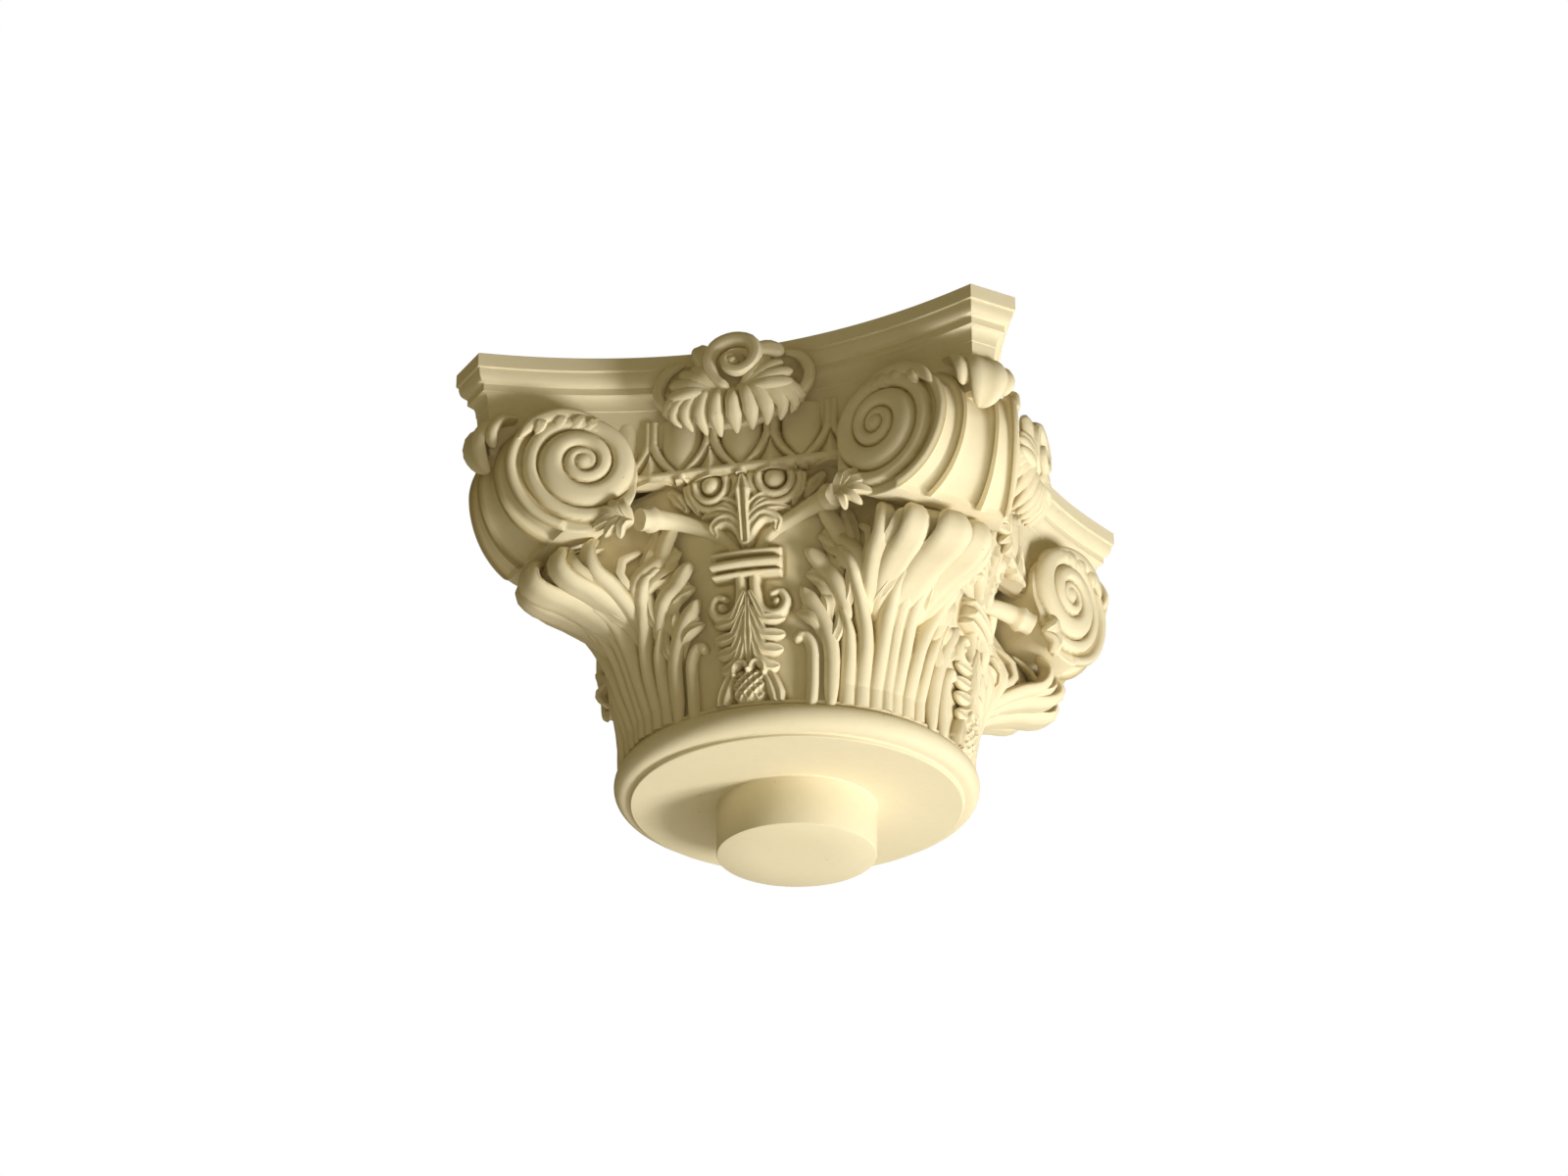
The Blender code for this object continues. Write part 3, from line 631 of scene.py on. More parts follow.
def corner_volute(turns=160, face_steps=50, ribbon_steps=40):
    """The two volutes of a corner and the ribbon between them, as one closed skin: the rings go round
    the eye, and run from one eye over the ribbon to the other."""
    angle = COIL_START + circle(turns)[:, None]
    share = np.linspace(0, 1, face_steps + 1)[None, 1:] ** 0.85
    reach = coil_outline(angle) * share
    relief = coil_relief(reach, angle)
    rounding = 0.006 * np.clip((share - 0.965) / 0.035, 0, 1) ** 2
    spots = placed(reach * np.cos(angle), reach * np.sin(angle), 0)
    face = on_coil(spots, relief - rounding)
    other = face @ CORNER_MIRROR
    across = (np.arange(ribbon_steps) + 0.5) / ribbon_steps * 2 - 1
    near, far = face[:, -1:, :], other[:, -1:, :]
    flat = near + (far - near) * (across[None, :, None] + 1) / 2
    degrees = np.degrees(angle)
    shown = ease(-100, -85, degrees) * ease(170, 120, degrees)
    tangent = np.roll(flat, -1, axis=0) - np.roll(flat, 1, axis=0)
    normal = unit(np.cross(tangent, far - near))
    bulge = ribbon_section(across)[None, :] * shown
    ribbon = flat + normal * bulge[..., None]
    grid = np.concatenate([face, ribbon, other[:, ::-1]], axis=1)
    height = np.concatenate([relief, bulge, relief[:, ::-1]], axis=1)
    # Painted shade in the hollows of the coils and the ribbon
    hollow = np.clip((blurred(height, 3) - height) / 0.012, 0, 1)
    eye = on_coil(np.zeros(2), coil_relief(np.zeros(1), np.zeros(1))[0])
    return tube(grid.transpose(1, 0, 2), eye, eye @ CORNER_MIRROR, hollow.T)


def corner_leaf(places, widths, heights, groove, stations, around=18):
    """Leaf near the upright plane through a corner: each place is a reach, a height and a distance
    aside from that plane."""
    path = along(places, stations_of(stations))
    out = np.array([1.0, -1.0, 0.0]) / math.sqrt(2)
    aside = np.array([1.0, 1.0, 0.0]) / math.sqrt(2)
    middle = path @ np.array([out, [0.0, 0.0, 1.0], aside])
    forward = unit(np.gradient(middle, axis=0))
    normal = unit(np.cross(forward, np.broadcast_to(aside, middle.shape)))
    if normal[len(normal) // 2] @ (out - np.array([0, 0, 0.4])) < 0:
        normal = -normal
    across = unit(np.cross(forward, normal))
    return swept(middle, across, normal, widths, heights, groove, around)


def corner_leaves():
    """Curled head of the corner leaf, made of five folds, the small leaf over the ribbon and the leaves
    on the tops of the two volutes. A leaf that stands aside from the corner's plane is made twice."""
    parts = []
    for widths, heights, groove, stations, *places in (
            ((0.14, 0.22, 0.28, 0.31, 0.31, 0.25), (0.04, 0.05, 0.05, 0.05), 0.0, 24,
             (1.02, 1.00, 0), (1.18, 1.13, 0), (1.36, 1.20, 0), (1.50, 1.25, 0), (1.54, 1.33, 0),
             (1.48, 1.40, 0)),
            ((0.050, 0.080, 0.105, 0.115, 0.118, 0.11, 0.07), (0.03, 0.05, 0.06, 0.05, 0.05), 0.22, 30,
             (1.00, 0.92, 0), (1.18, 1.08, 0), (1.40, 1.17, 0), (1.57, 1.19, 0), (1.655, 1.23, 0),
             (1.650, 1.31, 0), (1.58, 1.36, 0)),
            ((0.040, 0.062, 0.086, 0.094, 0.094, 0.086, 0.05), (0.03, 0.045, 0.055, 0.05, 0.05), 0.22, 30,
             (1.00, 0.94, 0.08), (1.17, 1.10, 0.12), (1.36, 1.18, 0.16), (1.51, 1.21, 0.180),
             (1.59, 1.27, 0.19), (1.57, 1.34, 0.19), (1.50, 1.38, 0.18)),
            ((0.030, 0.050, 0.066, 0.074, 0.070, 0.04), (0.03, 0.055, 0.06, 0.05, 0.04), 0.22, 28,
             (1.00, 0.97, 0.15), (1.14, 1.11, 0.20), (1.29, 1.20, 0.25), (1.42, 1.25, 0.285),
             (1.46, 1.35, 0.30), (1.40, 1.43, 0.29)),
            ((0.10, 0.12, 0.125, 0.10, 0.045), (0.03, 0.045, 0.05, 0.05, 0.03), 0.45, 18,
             (1.86, 2.12, 0), (1.98, 2.08, 0), (2.02, 1.99, 0), (1.985, 1.89, 0), (1.925, 1.84, 0)),
            ((0.05, 0.06, 0.06, 0.03), (0.03, 0.04, 0.045, 0.03), 0.3, 18,
             (1.84, 2.12, 0.13), (1.93, 2.09, 0.13), (1.98, 2.01, 0.13), (1.955, 1.93, 0.12))):
        for side in (-1, 1) if places[0][2] else (1,):
            line = np.array(places) * (1, 1, side)
            parts.append(corner_leaf(line, widths, heights, groove, stations))
    top = rim_leaf()
    return parts + top + moved(top, CORNER_MIRROR)


def rim_leaf():
    """Leaf that lies along the top of a volute's rim, with four pointed lobes hanging over the coil."""
    def spot(angle, inset):
        turn = math.radians(angle)
        reach = np.interp(angle, (0, 30, 60, 90, 120), (0.42, 0.40, 0.355, 0.315, 0.295)) - inset
        return reach * math.cos(turn), reach * math.sin(turn)
    parts = [leaflet(on_coil, [spot(angle, 0.030) for angle in (112, 88, 64, 40, 20)],
                     (0.020, 0.040, 0.044, 0.040, 0.016), (0.030, 0.040, 0.035), (0.010, 0.030, 0.020),
                     0.25, stations=24)]
    for angle, reach, width in ((96, 0.115, 0.034), (78, 0.130, 0.038), (59, 0.125, 0.036),
                                (40, 0.100, 0.032)):
        line = [spot(angle + 10, 0.020), spot(angle + 5, reach * 0.55), spot(angle - 10, reach)]
        parts.append(leaflet(on_coil, line, (0.6 * width, width, width, 0.2 * width),
                             (0.030, 0.040, 0.022), (0.020, 0.040, 0.030), 0.35))
    return parts


def abacus_plan(inset, arc_points):
    """Plan of the abacus at one level: four sides hollowed as parabolas and four cut corners."""
    spread = 1.05
    bend = ABACUS_HOLLOW / ABACUS_CORNER ** 2
    reach = ABACUS_CORNER + ABACUS_HOLLOW - (math.sqrt(2) - spread) * inset
    corner = (-1 + math.sqrt(1 + 4 * bend * reach)) / (2 * bend)
    x = np.linspace(-corner, corner, arc_points)
    side = np.stack([x, -(ABACUS_HALF - ABACUS_HOLLOW) - bend * x ** 2 + inset * spread], axis=1)
    return np.concatenate([side @ quarter_turn(i)[:2, :2] for i in range(4)])


def abacus_profile():
    """Drops and insets of the mouldings: a fillet, a rounded ovolo, a step, a hollow and a plain
    face."""
    turn = np.linspace(0, math.pi / 2, 7)
    ovolo = np.stack([0.086 + 0.070 * np.sin(turn), 0.012 + 0.034 * (1 - np.cos(turn))], axis=1)
    hollow = np.stack([0.205 + 0.075 * (1 - np.cos(turn)), 0.064 + 0.034 * np.sin(turn)], axis=1)
    return np.concatenate([[(0.0, 0.004), (0.004, 0.0), (0.080, 0.0), (0.083, 0.002)], ovolo,
                           [(0.162, 0.056), (0.202, 0.056)], hollow, [(0.284, 0.102), (0.560, 0.132)]])


def abacus(arc_points=46):
    """Moulded slab: the plan is carried down through the profile and closed flat above and below."""
    rings = np.stack([np.column_stack([abacus_plan(inset, arc_points),
                                       np.full(4 * arc_points, TOP - drop)])
                      for drop, inset in abacus_profile()])
    return tube(rings, (0, 0, TOP), (0, 0, rings[-1, 0, 2]))


def neck(segments=144):
    """Tenon, seat and rounded neck ring as one turned profile."""
    half = (RING_HEIGHT - 0.050) / 2
    swell = 1.0 - SEAT_RADIUS - 0.010
    turn = np.linspace(math.pi / 2, -math.pi / 2, 19)
    middle = TENON_LENGTH + 0.026 + half
    ring = np.stack([SEAT_RADIUS + 0.010 + swell * np.cos(turn) ** 0.8, middle + half * np.sin(turn)],
                    axis=1)
    profile = np.concatenate([
        [(0.55, NECK_TOP), (SEAT_RADIUS + 0.038, NECK_TOP), (SEAT_RADIUS + 0.042, NECK_TOP - 0.004),
         (SEAT_RADIUS + 0.042, middle + half + 0.004), (SEAT_RADIUS + 0.030, middle + half)], ring[1:],
        [(SEAT_RADIUS + 0.002, TENON_LENGTH + 0.018), (SEAT_RADIUS + 0.002, TENON_LENGTH + 0.005),
         (SEAT_RADIUS - 0.003, TENON_LENGTH), (0.70, TENON_LENGTH), (TENON_RADIUS + 0.006, TENON_LENGTH),
         (TENON_RADIUS, TENON_LENGTH - 0.006), (TENON_RADIUS, 0.14), (TENON_RADIUS, 0.010),
         (TENON_RADIUS - 0.003, 0.003), (TENON_RADIUS - 0.010, 0.0), (0.20, 0.0)]])
    spin = circle(segments)
    radius, height = profile[:, :1], profile[:, 1:]
    rings = placed(radius * np.cos(spin), radius * np.sin(spin), height)
    return tube(rings, (0, 0, NECK_TOP), (0, 0, 0))


def egg_band(columns=176, rows=54):
    """Row of eggs in their shells with darts between, on a flat field over a fillet, closed behind."""
    half = 0.80
    x, z = np.meshgrid(np.linspace(-half, half, columns), np.linspace(LIP_HEIGHT - 0.04, BAND_TOP, rows))
    away = np.abs((x + 2.5 * EGG_PITCH) % EGG_PITCH - EGG_PITCH / 2)
    drop = np.clip((EGG_HEIGHT - z) / 0.190, 0, 1)
    width = np.maximum(0.118 * (1 - drop ** 1.9), 1e-3)
    egg = 0.080 * rounded(away / width) * (drop < 1) * (1 - 0.45 * drop ** 2)
    shell = 0.150 * (1 - np.clip((EGG_HEIGHT + 0.010 - z) / 0.215, 0, 1) ** 1.7)
    gap = np.abs(away - shell) * np.where(z < EGG_HEIGHT, 0.80, 1.0)
    rim = 0.070 * rounded(gap / 0.024, 4)
    dart_top = 1.935
    width = np.maximum(0.105 * np.clip((dart_top - z) / 0.14, 0, 1), 1e-3)
    dart = 0.072 * rounded((EGG_PITCH / 2 - away) / width, 1, 0.6) * (z < dart_top)
    foot = 0.070 * rounded((z - LIP_HEIGHT - 0.002) / 0.022, 6)
    carving = Carving(x, z, np.ones_like(x))
    carving.relief = np.max([egg, rim, dart, foot], axis=0)
    sheet = placed(x, 0.005 - BAND_HALF - carving.relief, z)
    # Painted shade in the hollows round the eggs, shells and darts
    return backed(sheet, (0.0, -0.60, EGG_HEIGHT), carving.hollows(3, 0.02))


def stem(stations=30, around=24):
    """Fluted trumpet from the tie up to the volute's foot: its section is a circle with ribs, grown
    along a bent line, and its mouth turns out in a ring."""
    path = through([(0.05, -1.00, 1.35), (0.15, -1.01, 1.46), (0.31, -1.04, 1.535),
                    (0.44, -1.11, 1.550), (0.545, -1.225, 1.510)], stations)
    share = np.linspace(0, 1, stations)
    size = 0.026 + 0.036 * share ** 0.9 + 0.020 * np.exp(-((share - 0.88) / 0.030) ** 2)
    turn = circle(around)
    radius = size[:, None] * (1 + 0.03 * np.cos(6 * turn))
    forward = unit(np.gradient(path, axis=0))
    side = unit(np.cross(forward, np.array([0.0, -1.0, 0.0])))
    front = unit(np.cross(side, forward))
    rings = (path[:, None] + side[:, None] * (radius * np.cos(turn))[..., None]
             + front[:, None] * (radius * np.sin(turn))[..., None])
    return tube(rings, path[0], path[-1])


def tuft():
    """Small leaves that spring where a stem opens under the volute."""
    x, z = 0.565, 1.47
    tips = ((0.61, 1.59, 0.034), (0.69, 1.59, 0.040), (0.77, 1.53, 0.040), (0.78, 1.44, 0.036),
            (0.71, 1.38, 0.034), (0.62, 1.36, 0.032))
    return [leaflet(on_front(1.28), [(x, z), ((x + tip) / 2 + 0.012, (z + high) / 2 + 0.010), (tip, high)],
                    (0.014, width, width * 0.85, 0.012), (0.03, 0.05, 0.05, 0.03), (0.0, 0.06, 0.03),
                    0.45, stations=12)
            for tip, high, width in tips]


def fleuron():
    """Leafy shell on the middle of the abacus: drooping fingers, two fans, wrapping leaves and a
    curl."""
    parts = [dome((0.0, -1.22, 2.20), (0.33, 0.12, 0.20)), dome((0.0, -1.26, 2.14), (0.20, 0.10, 0.10)),
             dome((0.015, -1.28, 2.335), (0.135, 0.06, 0.125)),
             dome((0.020, -1.40, 2.300), (0.034, 0.050, 0.034))]
    fingers = ((-0.345, 2.075), (-0.305, 2.02), (-0.240, 1.985), (-0.160, 1.95), (-0.080, 1.93),
               (0.010, 1.94), (0.095, 1.95), (0.175, 1.965), (0.250, 1.985), (0.310, 2.02), (0.345, 2.075))
    for x, low in fingers:
        line = [(0.30 * x, 2.16), (0.80 * x, 2.145), (1.10 * x, 0.5 * low + 1.065), (x, low)]
        parts.append(leaflet(on_front(1.31), line, (0.020, 0.040, 0.046, 0.014),
                             (0.04, 0.06, 0.055, 0.03), (0.03, 0.06, 0.03, -0.05), 0.25))
    front = on_front(1.33)
    fan_tips = ((0.215, 2.325), (0.290, 2.290), (0.345, 2.225), (0.355, 2.150))
    wrap = ((0.30, 2.08), (0.395, 2.14), (0.425, 2.24), (0.375, 2.34), (0.27, 2.385))
    for side in (-1, 1):
        for x, z in fan_tips:
            line = [(side * 0.05, 2.15), (side * (0.06 + 0.4 * x), 0.5 * z + 1.075), (side * x, z)]
            parts.append(leaflet(front, line, (0.016, 0.034, 0.044, 0.042, 0.024),
                                 (0.03, 0.05, 0.05, 0.05, 0.03), (0.02, 0.06, 0.03), 0.25))
        parts.append(leaflet(front, np.array(wrap) * (side, 1), (0.016, 0.032, 0.036, 0.034, 0.016),
                             (0.03, 0.05, 0.05, 0.04, 0.02), (-0.04, -0.03, -0.03, -0.02), 0.30,
                             stations=22))
    # Two upper leaves, then the curl
    for widths, heights, lifts, groove, stations, *line in (
            ((0.025, 0.045, 0.060, 0.050), (0.05, 0.06, 0.06, 0.04), (0.02, 0.04, 0.03), 0.5, 16,
             (-0.11, 2.22), (-0.150, 2.34), (-0.185, 2.45)),
            ((0.035, 0.055, 0.055, 0.030), (0.05, 0.06, 0.05, 0.04), (0.03, 0.03, 0.0), 0.35, 16,
             (0.08, 2.33), (0.18, 2.38), (0.29, 2.37)),
            ((0.026, 0.038, 0.044, 0.044, 0.038, 0.030, 0.022), (0.05, 0.06, 0.06, 0.05, 0.05),
             (0.05, 0.06, 0.06, 0.08, 0.09), 0.30, 56,
             (0.00, 2.15), (-0.085, 2.22), (-0.115, 2.32), (-0.075, 2.41), (0.02, 2.445), (0.11, 2.42),
             (0.15, 2.34), (0.12, 2.265), (0.05, 2.235), (-0.01, 2.265), (-0.015, 2.32), (0.03, 2.335))):
        parts.append(leaflet(front, line, widths, heights, lifts, groove, stations))
    return parts


class Value:
    """A socket that carries a number, so that shader maths reads as an expression."""

    def __init__(self, graph, socket):
        """Keep the graph that new nodes go into and the socket that they read."""
        self.graph, self.socket = graph, socket

    def join(self, operation, first, second):
        """Add one Math node for an operation on two numbers or sockets."""
        inputs = [item.socket if isinstance(item, Value) else item for item in (first, second)]
        node = self.graph.node("ShaderNodeMath", {0: inputs[0], 1: inputs[1]}, operation=operation)
        return Value(self.graph, node.outputs[0])

    def __add__(self, other):
        return self.join("ADD", self, other)

    def __radd__(self, other):
        return self.join("ADD", other, self)

    def __sub__(self, other):
        return self.join("SUBTRACT", self, other)

    def __rsub__(self, other):
        return self.join("SUBTRACT", other, self)

    def __mul__(self, other):
        return self.join("MULTIPLY", self, other)

    def above(self, other):
        """The larger of this and another."""
        return self.join("MAXIMUM", self, other)

    def below(self, other):
        """The smaller of this and another."""
        return self.join("MINIMUM", self, other)


class Graph:
    """A node tree, with one way to add any node."""

    def __init__(self, tree):
        """Keep the tree and empty it."""
        self.tree = tree
        self.tree.nodes.clear()

    def node(self, kind, inputs=None, **settings):
        """Add a node: its type, the values or links of its sockets, and its settings."""
        item = self.tree.nodes.new(kind)
        for key, value in settings.items():
            setattr(item, key, value)
        for key, value in (inputs or {}).items():
            socket = item.inputs[key]
            if isinstance(value, Value):
                value = value.socket
            if isinstance(value, bpy.types.NodeSocket):
                self.tree.links.new(value, socket)
            else:
                socket.default_value = value
        return item

    def noise(self, place, scale, detail):
        """Noise on object coordinates, as a value from 0 to 1."""
        node = self.node("ShaderNodeTexNoise", {"Vector": place, "Scale": scale, "Detail": detail,
                                                "Roughness": 0.55})
        return Value(self, node.outputs["Fac"])

    def mix(self, share, first, second):
        """Colour between two, by a share."""
        node = self.node("ShaderNodeMix", {0: share, 6: first, 7: second}, data_type="RGBA")
        return node.outputs[2]


def new_material(name):
    """Empty material, its graph and its object coordinates."""
    material = bpy.data.materials.new(name)
    material.use_nodes = True
    graph = Graph(material.node_tree)
    return material, graph, graph.node("ShaderNodeTexCoord").outputs["Object"]


def opaque(colour):
    """Colour with a full alpha."""
    return tuple(colour) + (1.0,)


def stone_material(settings):
    """Cream cast stone: a pale skin with faint cloudy mottling, with painted shade that makes the hollows
    and the leaves' undersides darker and yellower, a fine grain and a few small air bubble pits in the
    bump, which are painted darker as well."""
    material, graph, place = new_material("cast_stone")
    hollow = Value(graph, graph.node("ShaderNodeAttribute", attribute_name="hollow").outputs["Fac"])
    cloud = graph.noise(place, CLOUD_SCALE, 4.0)
    speck = graph.noise(place, SPECK_SCALE, 3.0)
    grain = graph.noise(place, GRAIN_SCALE, 2.0)
    pale = graph.mix(cloud * 0.55 + speck * 0.35, opaque(settings.skin), opaque(settings.shade))
    # Painted shade: the hollow attribute, jittered a little by the specks, sets how far the shade colour is
    # mixed in
    depth = (hollow * settings.painted_shade_share + (speck - 0.5) * 0.06).above(0.0).below(1.0)
    shade_paint = opaque(settings.painted_shade_colour)
    colour = graph.mix(depth, pale, shade_paint)
    cells = graph.node("ShaderNodeTexVoronoi", {"Vector": place, "Scale": CELL_SCALE}, feature="F1")
    spread = Value(graph, cells.outputs["Distance"])
    pick = Value(graph, graph.node("ShaderNodeSeparateColor", {0: cells.outputs["Color"]}).outputs[0])
    inside = ((PIT_RADIUS - spread) * 14.0).above(0.0).below(1.0)
    pit = inside * ((pick - PITLESS_SHARE) * 40.0).above(0.0).below(1.0)
    bump = graph.node("ShaderNodeBump", {"Strength": 0.35, "Distance": BUMP_DEPTH,
                                         "Height": grain * 0.30 + speck * 0.70 - pit * 6.0})
    # Painted shade in the pits too: they are mixed half way to the shade colour
    shader = graph.node("ShaderNodeBsdfPrincipled", {
        "Base Color": graph.mix(pit * 0.5, colour, shade_paint), "Roughness": 0.78 + cloud * 0.10 + pit * 0.08,
        "Normal": bump.outputs[0], "Specular IOR Level": 0.35})
    graph.node("ShaderNodeOutputMaterial", {0: shader.outputs[0]})
    return material


def floor_material(colour):
    """Plain matt paint with a very faint mottle."""
    material, graph, place = new_material("floor_paint")
    cloud = graph.noise(place, 1.5, 2.0)
    tint = graph.mix(cloud * 0.2, opaque(colour), opaque(0.96 * part for part in colour))
    shader = graph.node("ShaderNodeBsdfPrincipled", {"Base Color": tint, "Roughness": 0.9})
    graph.node("ShaderNodeOutputMaterial", {0: shader.outputs[0]})
    return material


def colour_setting(name, description, default):
    """Property that holds a colour."""
    return bpy.props.FloatVectorProperty(name=name, description=description, default=default, size=3,
                                         subtype="COLOR", min=0, max=1)


def number_setting(name, description, default, **limits):
    """Property that holds one number."""
    return bpy.props.FloatProperty(name=name, description=description, default=default, **limits)


class CapitalStone(bpy.types.PropertyGroup):
    """Colours of the stone and of its painted shade."""
    skin: colour_setting("Skin", "Palest colour of the cast stone", (0.86, 0.785, 0.59))
    shade: colour_setting("Mottle", "Colour of the faint cloudy patches", (0.80, 0.70, 0.475))
    # Colour and strength of the painted shade in carved hollows and under leaves
    painted_shade_colour: colour_setting("Hollow", "Colour in carved hollows", (0.40, 0.30, 0.115))
    painted_shade_share: number_setting("Hollow share", "How far hollows take their colour", 0.75,
                                 min=0, max=1, subtype="FACTOR")


class CapitalStudio(bpy.types.PropertyGroup):
    """Camera, floor and lights."""
    azimuth: number_setting("Azimuth", "Camera's angle round the object", math.radians(15.302),
                            subtype="ANGLE")
    elevation: number_setting("Elevation", "Camera's angle above the horizon", math.radians(-27.435),
                              subtype="ANGLE")
    roll: number_setting("Roll", "Camera's turn about its own line", math.radians(0.136), subtype="ANGLE")
    distance: number_setting("Distance", "Camera's distance from its target", 3.0866,
                             unit="LENGTH", subtype="DISTANCE")
    target: bpy.props.FloatVectorProperty(name="Target", description="Point that the camera looks at",
                                          default=(-0.0105, 0.0, 0.2307), size=3, subtype="TRANSLATION")
    lens: number_setting("Lens", "Focal length of the camera in millimetres", 90.06, min=10)
    floor_drop: number_setting("Floor drop", "How far the floor lies below the tenon", 1.75,
                               unit="LENGTH", subtype="DISTANCE")
    floor_colour: colour_setting("Floor", "Colour of the studio floor", (0.86, 0.86, 0.84))
    air_colour: colour_setting("Air", "Colour of the soft light from all round", (0.54, 0.43, 0.13))
    air_strength: number_setting("Air strength", "Strength of the light from all round", 0.25, min=0)


def stone():
    """The stone's material, made once."""
    found = bpy.data.materials.get("cast_stone")
    return found or stone_material(bpy.context.scene.capital_stone)


def make_four(name, parts, crisp=50.0):
    """One piece for each side, from the parts of one side turned to all four."""
    for i in range(4):
        make_piece("%s_%d" % (name, i), moved(parts, quarter_turn(i)), crisp)


class CAPITAL_OT_bell(bpy.types.Operator):
    """Build the bell with its corner leaves, pendant, tie and palmette"""
    bl_idname = "capital.bell"
    bl_label = "Bell and leaves"

    def execute(self, context):
        """Make one quarter and turn it to the four sides."""
        make_four("bell", [bell_quarter()], 80)
        return {"FINISHED"}


class CAPITAL_OT_lobes(bpy.types.Operator):
    """Build the lobes of the corner leaves and the leaves of the drops"""
    bl_idname = "capital.lobes"
    bl_label = "Leaf lobes"

    def execute(self, context):
        """Make one half face, mirror it and turn both to the four sides."""
        half = leaf_lobes()
        make_four("lobes", half + moved(half, FACE_MIRROR))
        return {"FINISHED"}


class CAPITAL_OT_volutes(bpy.types.Operator):
    """Build the volutes and ribbons of the four corners"""
    bl_idname = "capital.volutes"
    bl_label = "Corner volutes"

    def execute(self, context):
        """Make one corner and turn it to the four."""
        make_four("volute", [corner_volute()], 60)
        return {"FINISHED"}


class CAPITAL_OT_corner_leaves(bpy.types.Operator):
    """Build the curled leaves of the four corners"""
    bl_idname = "capital.corner_leaves"
    bl_label = "Corner leaves"

    def execute(self, context):
        """Make one corner's leaves and turn them to the four."""
        make_four("corner_leaves", corner_leaves())
        return {"FINISHED"}


class CAPITAL_OT_abacus(bpy.types.Operator):
    """Build the moulded abacus"""
    bl_idname = "capital.abacus"
    bl_label = "Abacus"

    def execute(self, context):
        """Make the slab."""
        make_piece("abacus", [abacus()], 32)
        return {"FINISHED"}


class CAPITAL_OT_neck(bpy.types.Operator):
    """Build the neck ring and the tenon"""
    bl_idname = "capital.neck"
    bl_label = "Neck and tenon"

    def execute(self, context):
        """Make the turned foot."""
        make_piece("neck", [neck()], 40)
        return {"FINISHED"}


class CAPITAL_OT_eggs(bpy.types.Operator):
    """Build the egg bands of the four faces"""
    bl_idname = "capital.eggs"
    bl_label = "Egg bands"

    def execute(self, context):
        """Make one band and turn it to the four sides."""
        make_four("egg_band", [egg_band()], 70)
        return {"FINISHED"}


class CAPITAL_OT_stems(bpy.types.Operator):
    """Build the stems and the tufts under the volutes"""
    bl_idname = "capital.stems"
    bl_label = "Stems and tufts"

    def execute(self, context):
        """Make one half face, mirror it and turn both to the four sides."""
        half = [stem()] + tuft()
        make_four("stems", half + moved(half, FACE_MIRROR))
        return {"FINISHED"}


class CAPITAL_OT_fleurons(bpy.types.Operator):
    """Build the leafy shells on the abacus"""
    bl_idname = "capital.fleurons"
    bl_label = "Fleurons"

    def execute(self, context):
        """Make one shell and turn it to the four sides."""
        make_four("fleuron", fleuron())
        return {"FINISHED"}


def add_light(name, place, size, power, colour):
    """Square area light at a place, turned towards the capital."""
    light = bpy.data.lights.new(name, "AREA")
    light.shape = "SQUARE"
    light.size = size
    light.energy = power
    light.color = colour
    item = bpy.data.objects.new(name, light)
    item.location = place
    item.rotation_euler = (Vector(LIT_POINT) - Vector(place)).to_track_quat("-Z", "Y").to_euler()
    bpy.context.scene.collection.objects.link(item)


def set_air(studio):
    """World that lights with a dim warm air and shows white to the camera."""
    world = bpy.data.worlds.new("studio_air")
    bpy.context.scene.world = world
    world.use_nodes = True
    graph = Graph(world.node_tree)
    air = graph.node("ShaderNodeBackground", {0: opaque(studio.air_colour), 1: studio.air_strength})
    white = graph.node("ShaderNodeBackground", {0: (1.0, 1.0, 1.0, 1.0), 1: 1.0})
    rays = graph.node("ShaderNodeLightPath").outputs["Is Camera Ray"]
    either = graph.node("ShaderNodeMixShader", {0: rays, 1: air.outputs[0], 2: white.outputs[0]})
    graph.node("ShaderNodeOutputWorld", {0: either.outputs[0]})


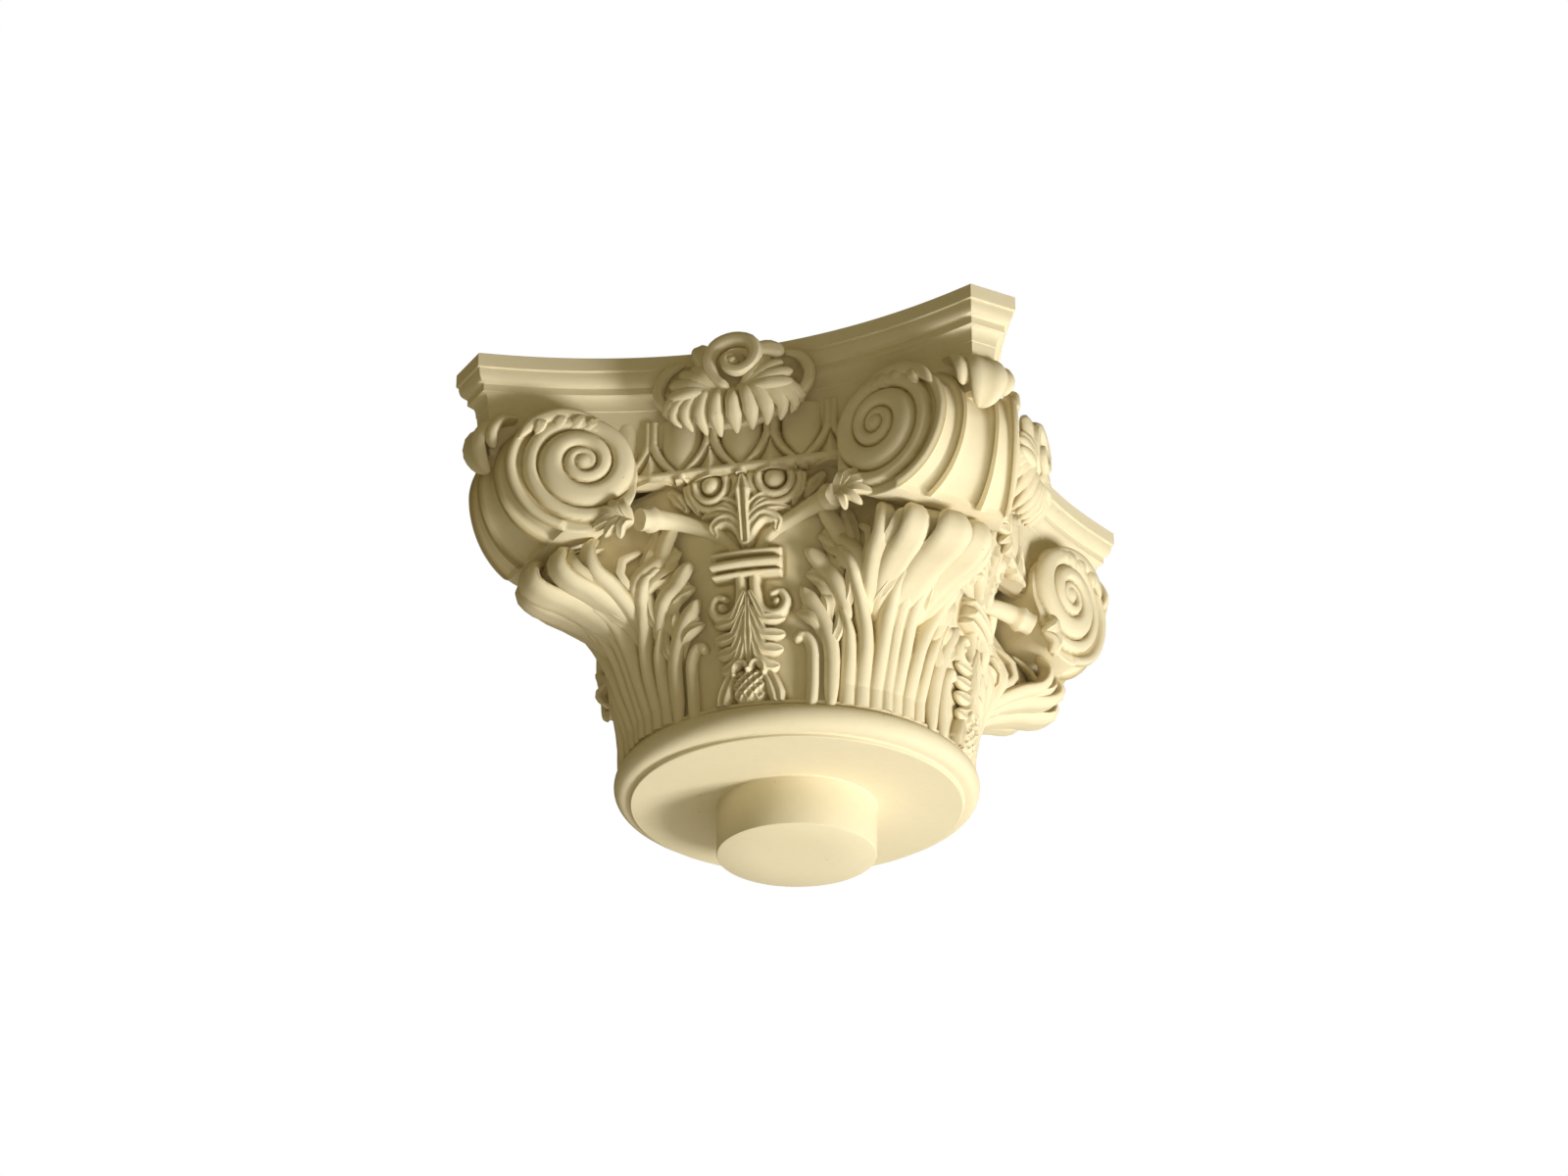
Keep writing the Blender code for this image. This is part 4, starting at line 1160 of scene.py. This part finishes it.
class CAPITAL_OT_stage(bpy.types.Operator):
    """Build the floor, the lights and the camera"""
    bl_idname = "capital.stage"
    bl_label = "Stage"

    def execute(self, context):
        """Set the studio up round the capital."""
        studio = context.scene.capital_studio
        mesh = bpy.data.meshes.new("floor")
        half, drop = 6.0, -studio.floor_drop
        edge = [(-half, -half, drop), (half, -half, drop), (half, half, drop), (-half, half, drop)]
        mesh.from_pydata(edge, [], [(0, 1, 2, 3)])
        mesh.materials.append(floor_material(studio.floor_colour))
        ground = bpy.data.objects.new("floor", mesh)
        context.scene.collection.objects.link(ground)
        azimuth, elevation = studio.azimuth, studio.elevation
        back = Vector((math.sin(azimuth) * math.cos(elevation), -math.cos(azimuth) * math.cos(elevation),
                       math.sin(elevation)))
        camera = bpy.data.objects.new("camera", bpy.data.cameras.new("camera"))
        camera.data.lens = studio.lens
        camera.data.sensor_width = 36.0
        camera.location = Vector(studio.target) + back * studio.distance
        aim = (-back).to_track_quat("-Z", "Y").to_matrix().to_4x4()
        camera.rotation_mode = "QUATERNION"
        camera.rotation_quaternion = (aim @ Matrix.Rotation(studio.roll, 4, "Z")).to_quaternion()
        context.scene.collection.objects.link(camera)
        context.scene.camera = camera
        context.scene.view_settings.view_transform = "Standard"
        for light in LIGHTS:
            add_light(*light)
        set_air(studio)
        return {"FINISHED"}


STEPS = ("stage", "bell", "lobes", "volutes", "corner_leaves", "abacus", "neck", "eggs", "stems",
         "fleurons")


class CAPITAL_PT_panel(bpy.types.Panel):
    """Lists the sizes, the colours and the pieces"""
    bl_label = "Corinthian capital"
    bl_idname = "CAPITAL_PT_panel"
    bl_space_type = "VIEW_3D"
    bl_region_type = "UI"
    bl_category = "Capital"

    def draw(self, context):
        """Show each setting and a button for each step."""
        for group in (context.scene.capital_stone, context.scene.capital_studio):
            box = self.layout.box()
            for name in group.__annotations__:
                box.prop(group, name)
        for step in STEPS:
            self.layout.operator("capital." + step)


CLASSES = (CapitalStone, CapitalStudio, CAPITAL_OT_bell, CAPITAL_OT_lobes, CAPITAL_OT_volutes,
           CAPITAL_OT_corner_leaves, CAPITAL_OT_abacus, CAPITAL_OT_neck, CAPITAL_OT_eggs,
           CAPITAL_OT_stems, CAPITAL_OT_fleurons, CAPITAL_OT_stage, CAPITAL_PT_panel)


def register():
    """Register the classes and hang the settings on the scene."""
    for item in CLASSES:
        bpy.utils.register_class(item)
    bpy.types.Scene.capital_stone = bpy.props.PointerProperty(type=CapitalStone)
    bpy.types.Scene.capital_studio = bpy.props.PointerProperty(type=CapitalStudio)


def unregister():
    """Take the settings and the classes away."""
    del bpy.types.Scene.capital_studio
    del bpy.types.Scene.capital_stone
    for item in reversed(CLASSES):
        bpy.utils.unregister_class(item)


def main():
    """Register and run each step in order."""
    register()
    for step in STEPS:
        getattr(bpy.ops.capital, step)()


if __name__ == "__main__":
    main()
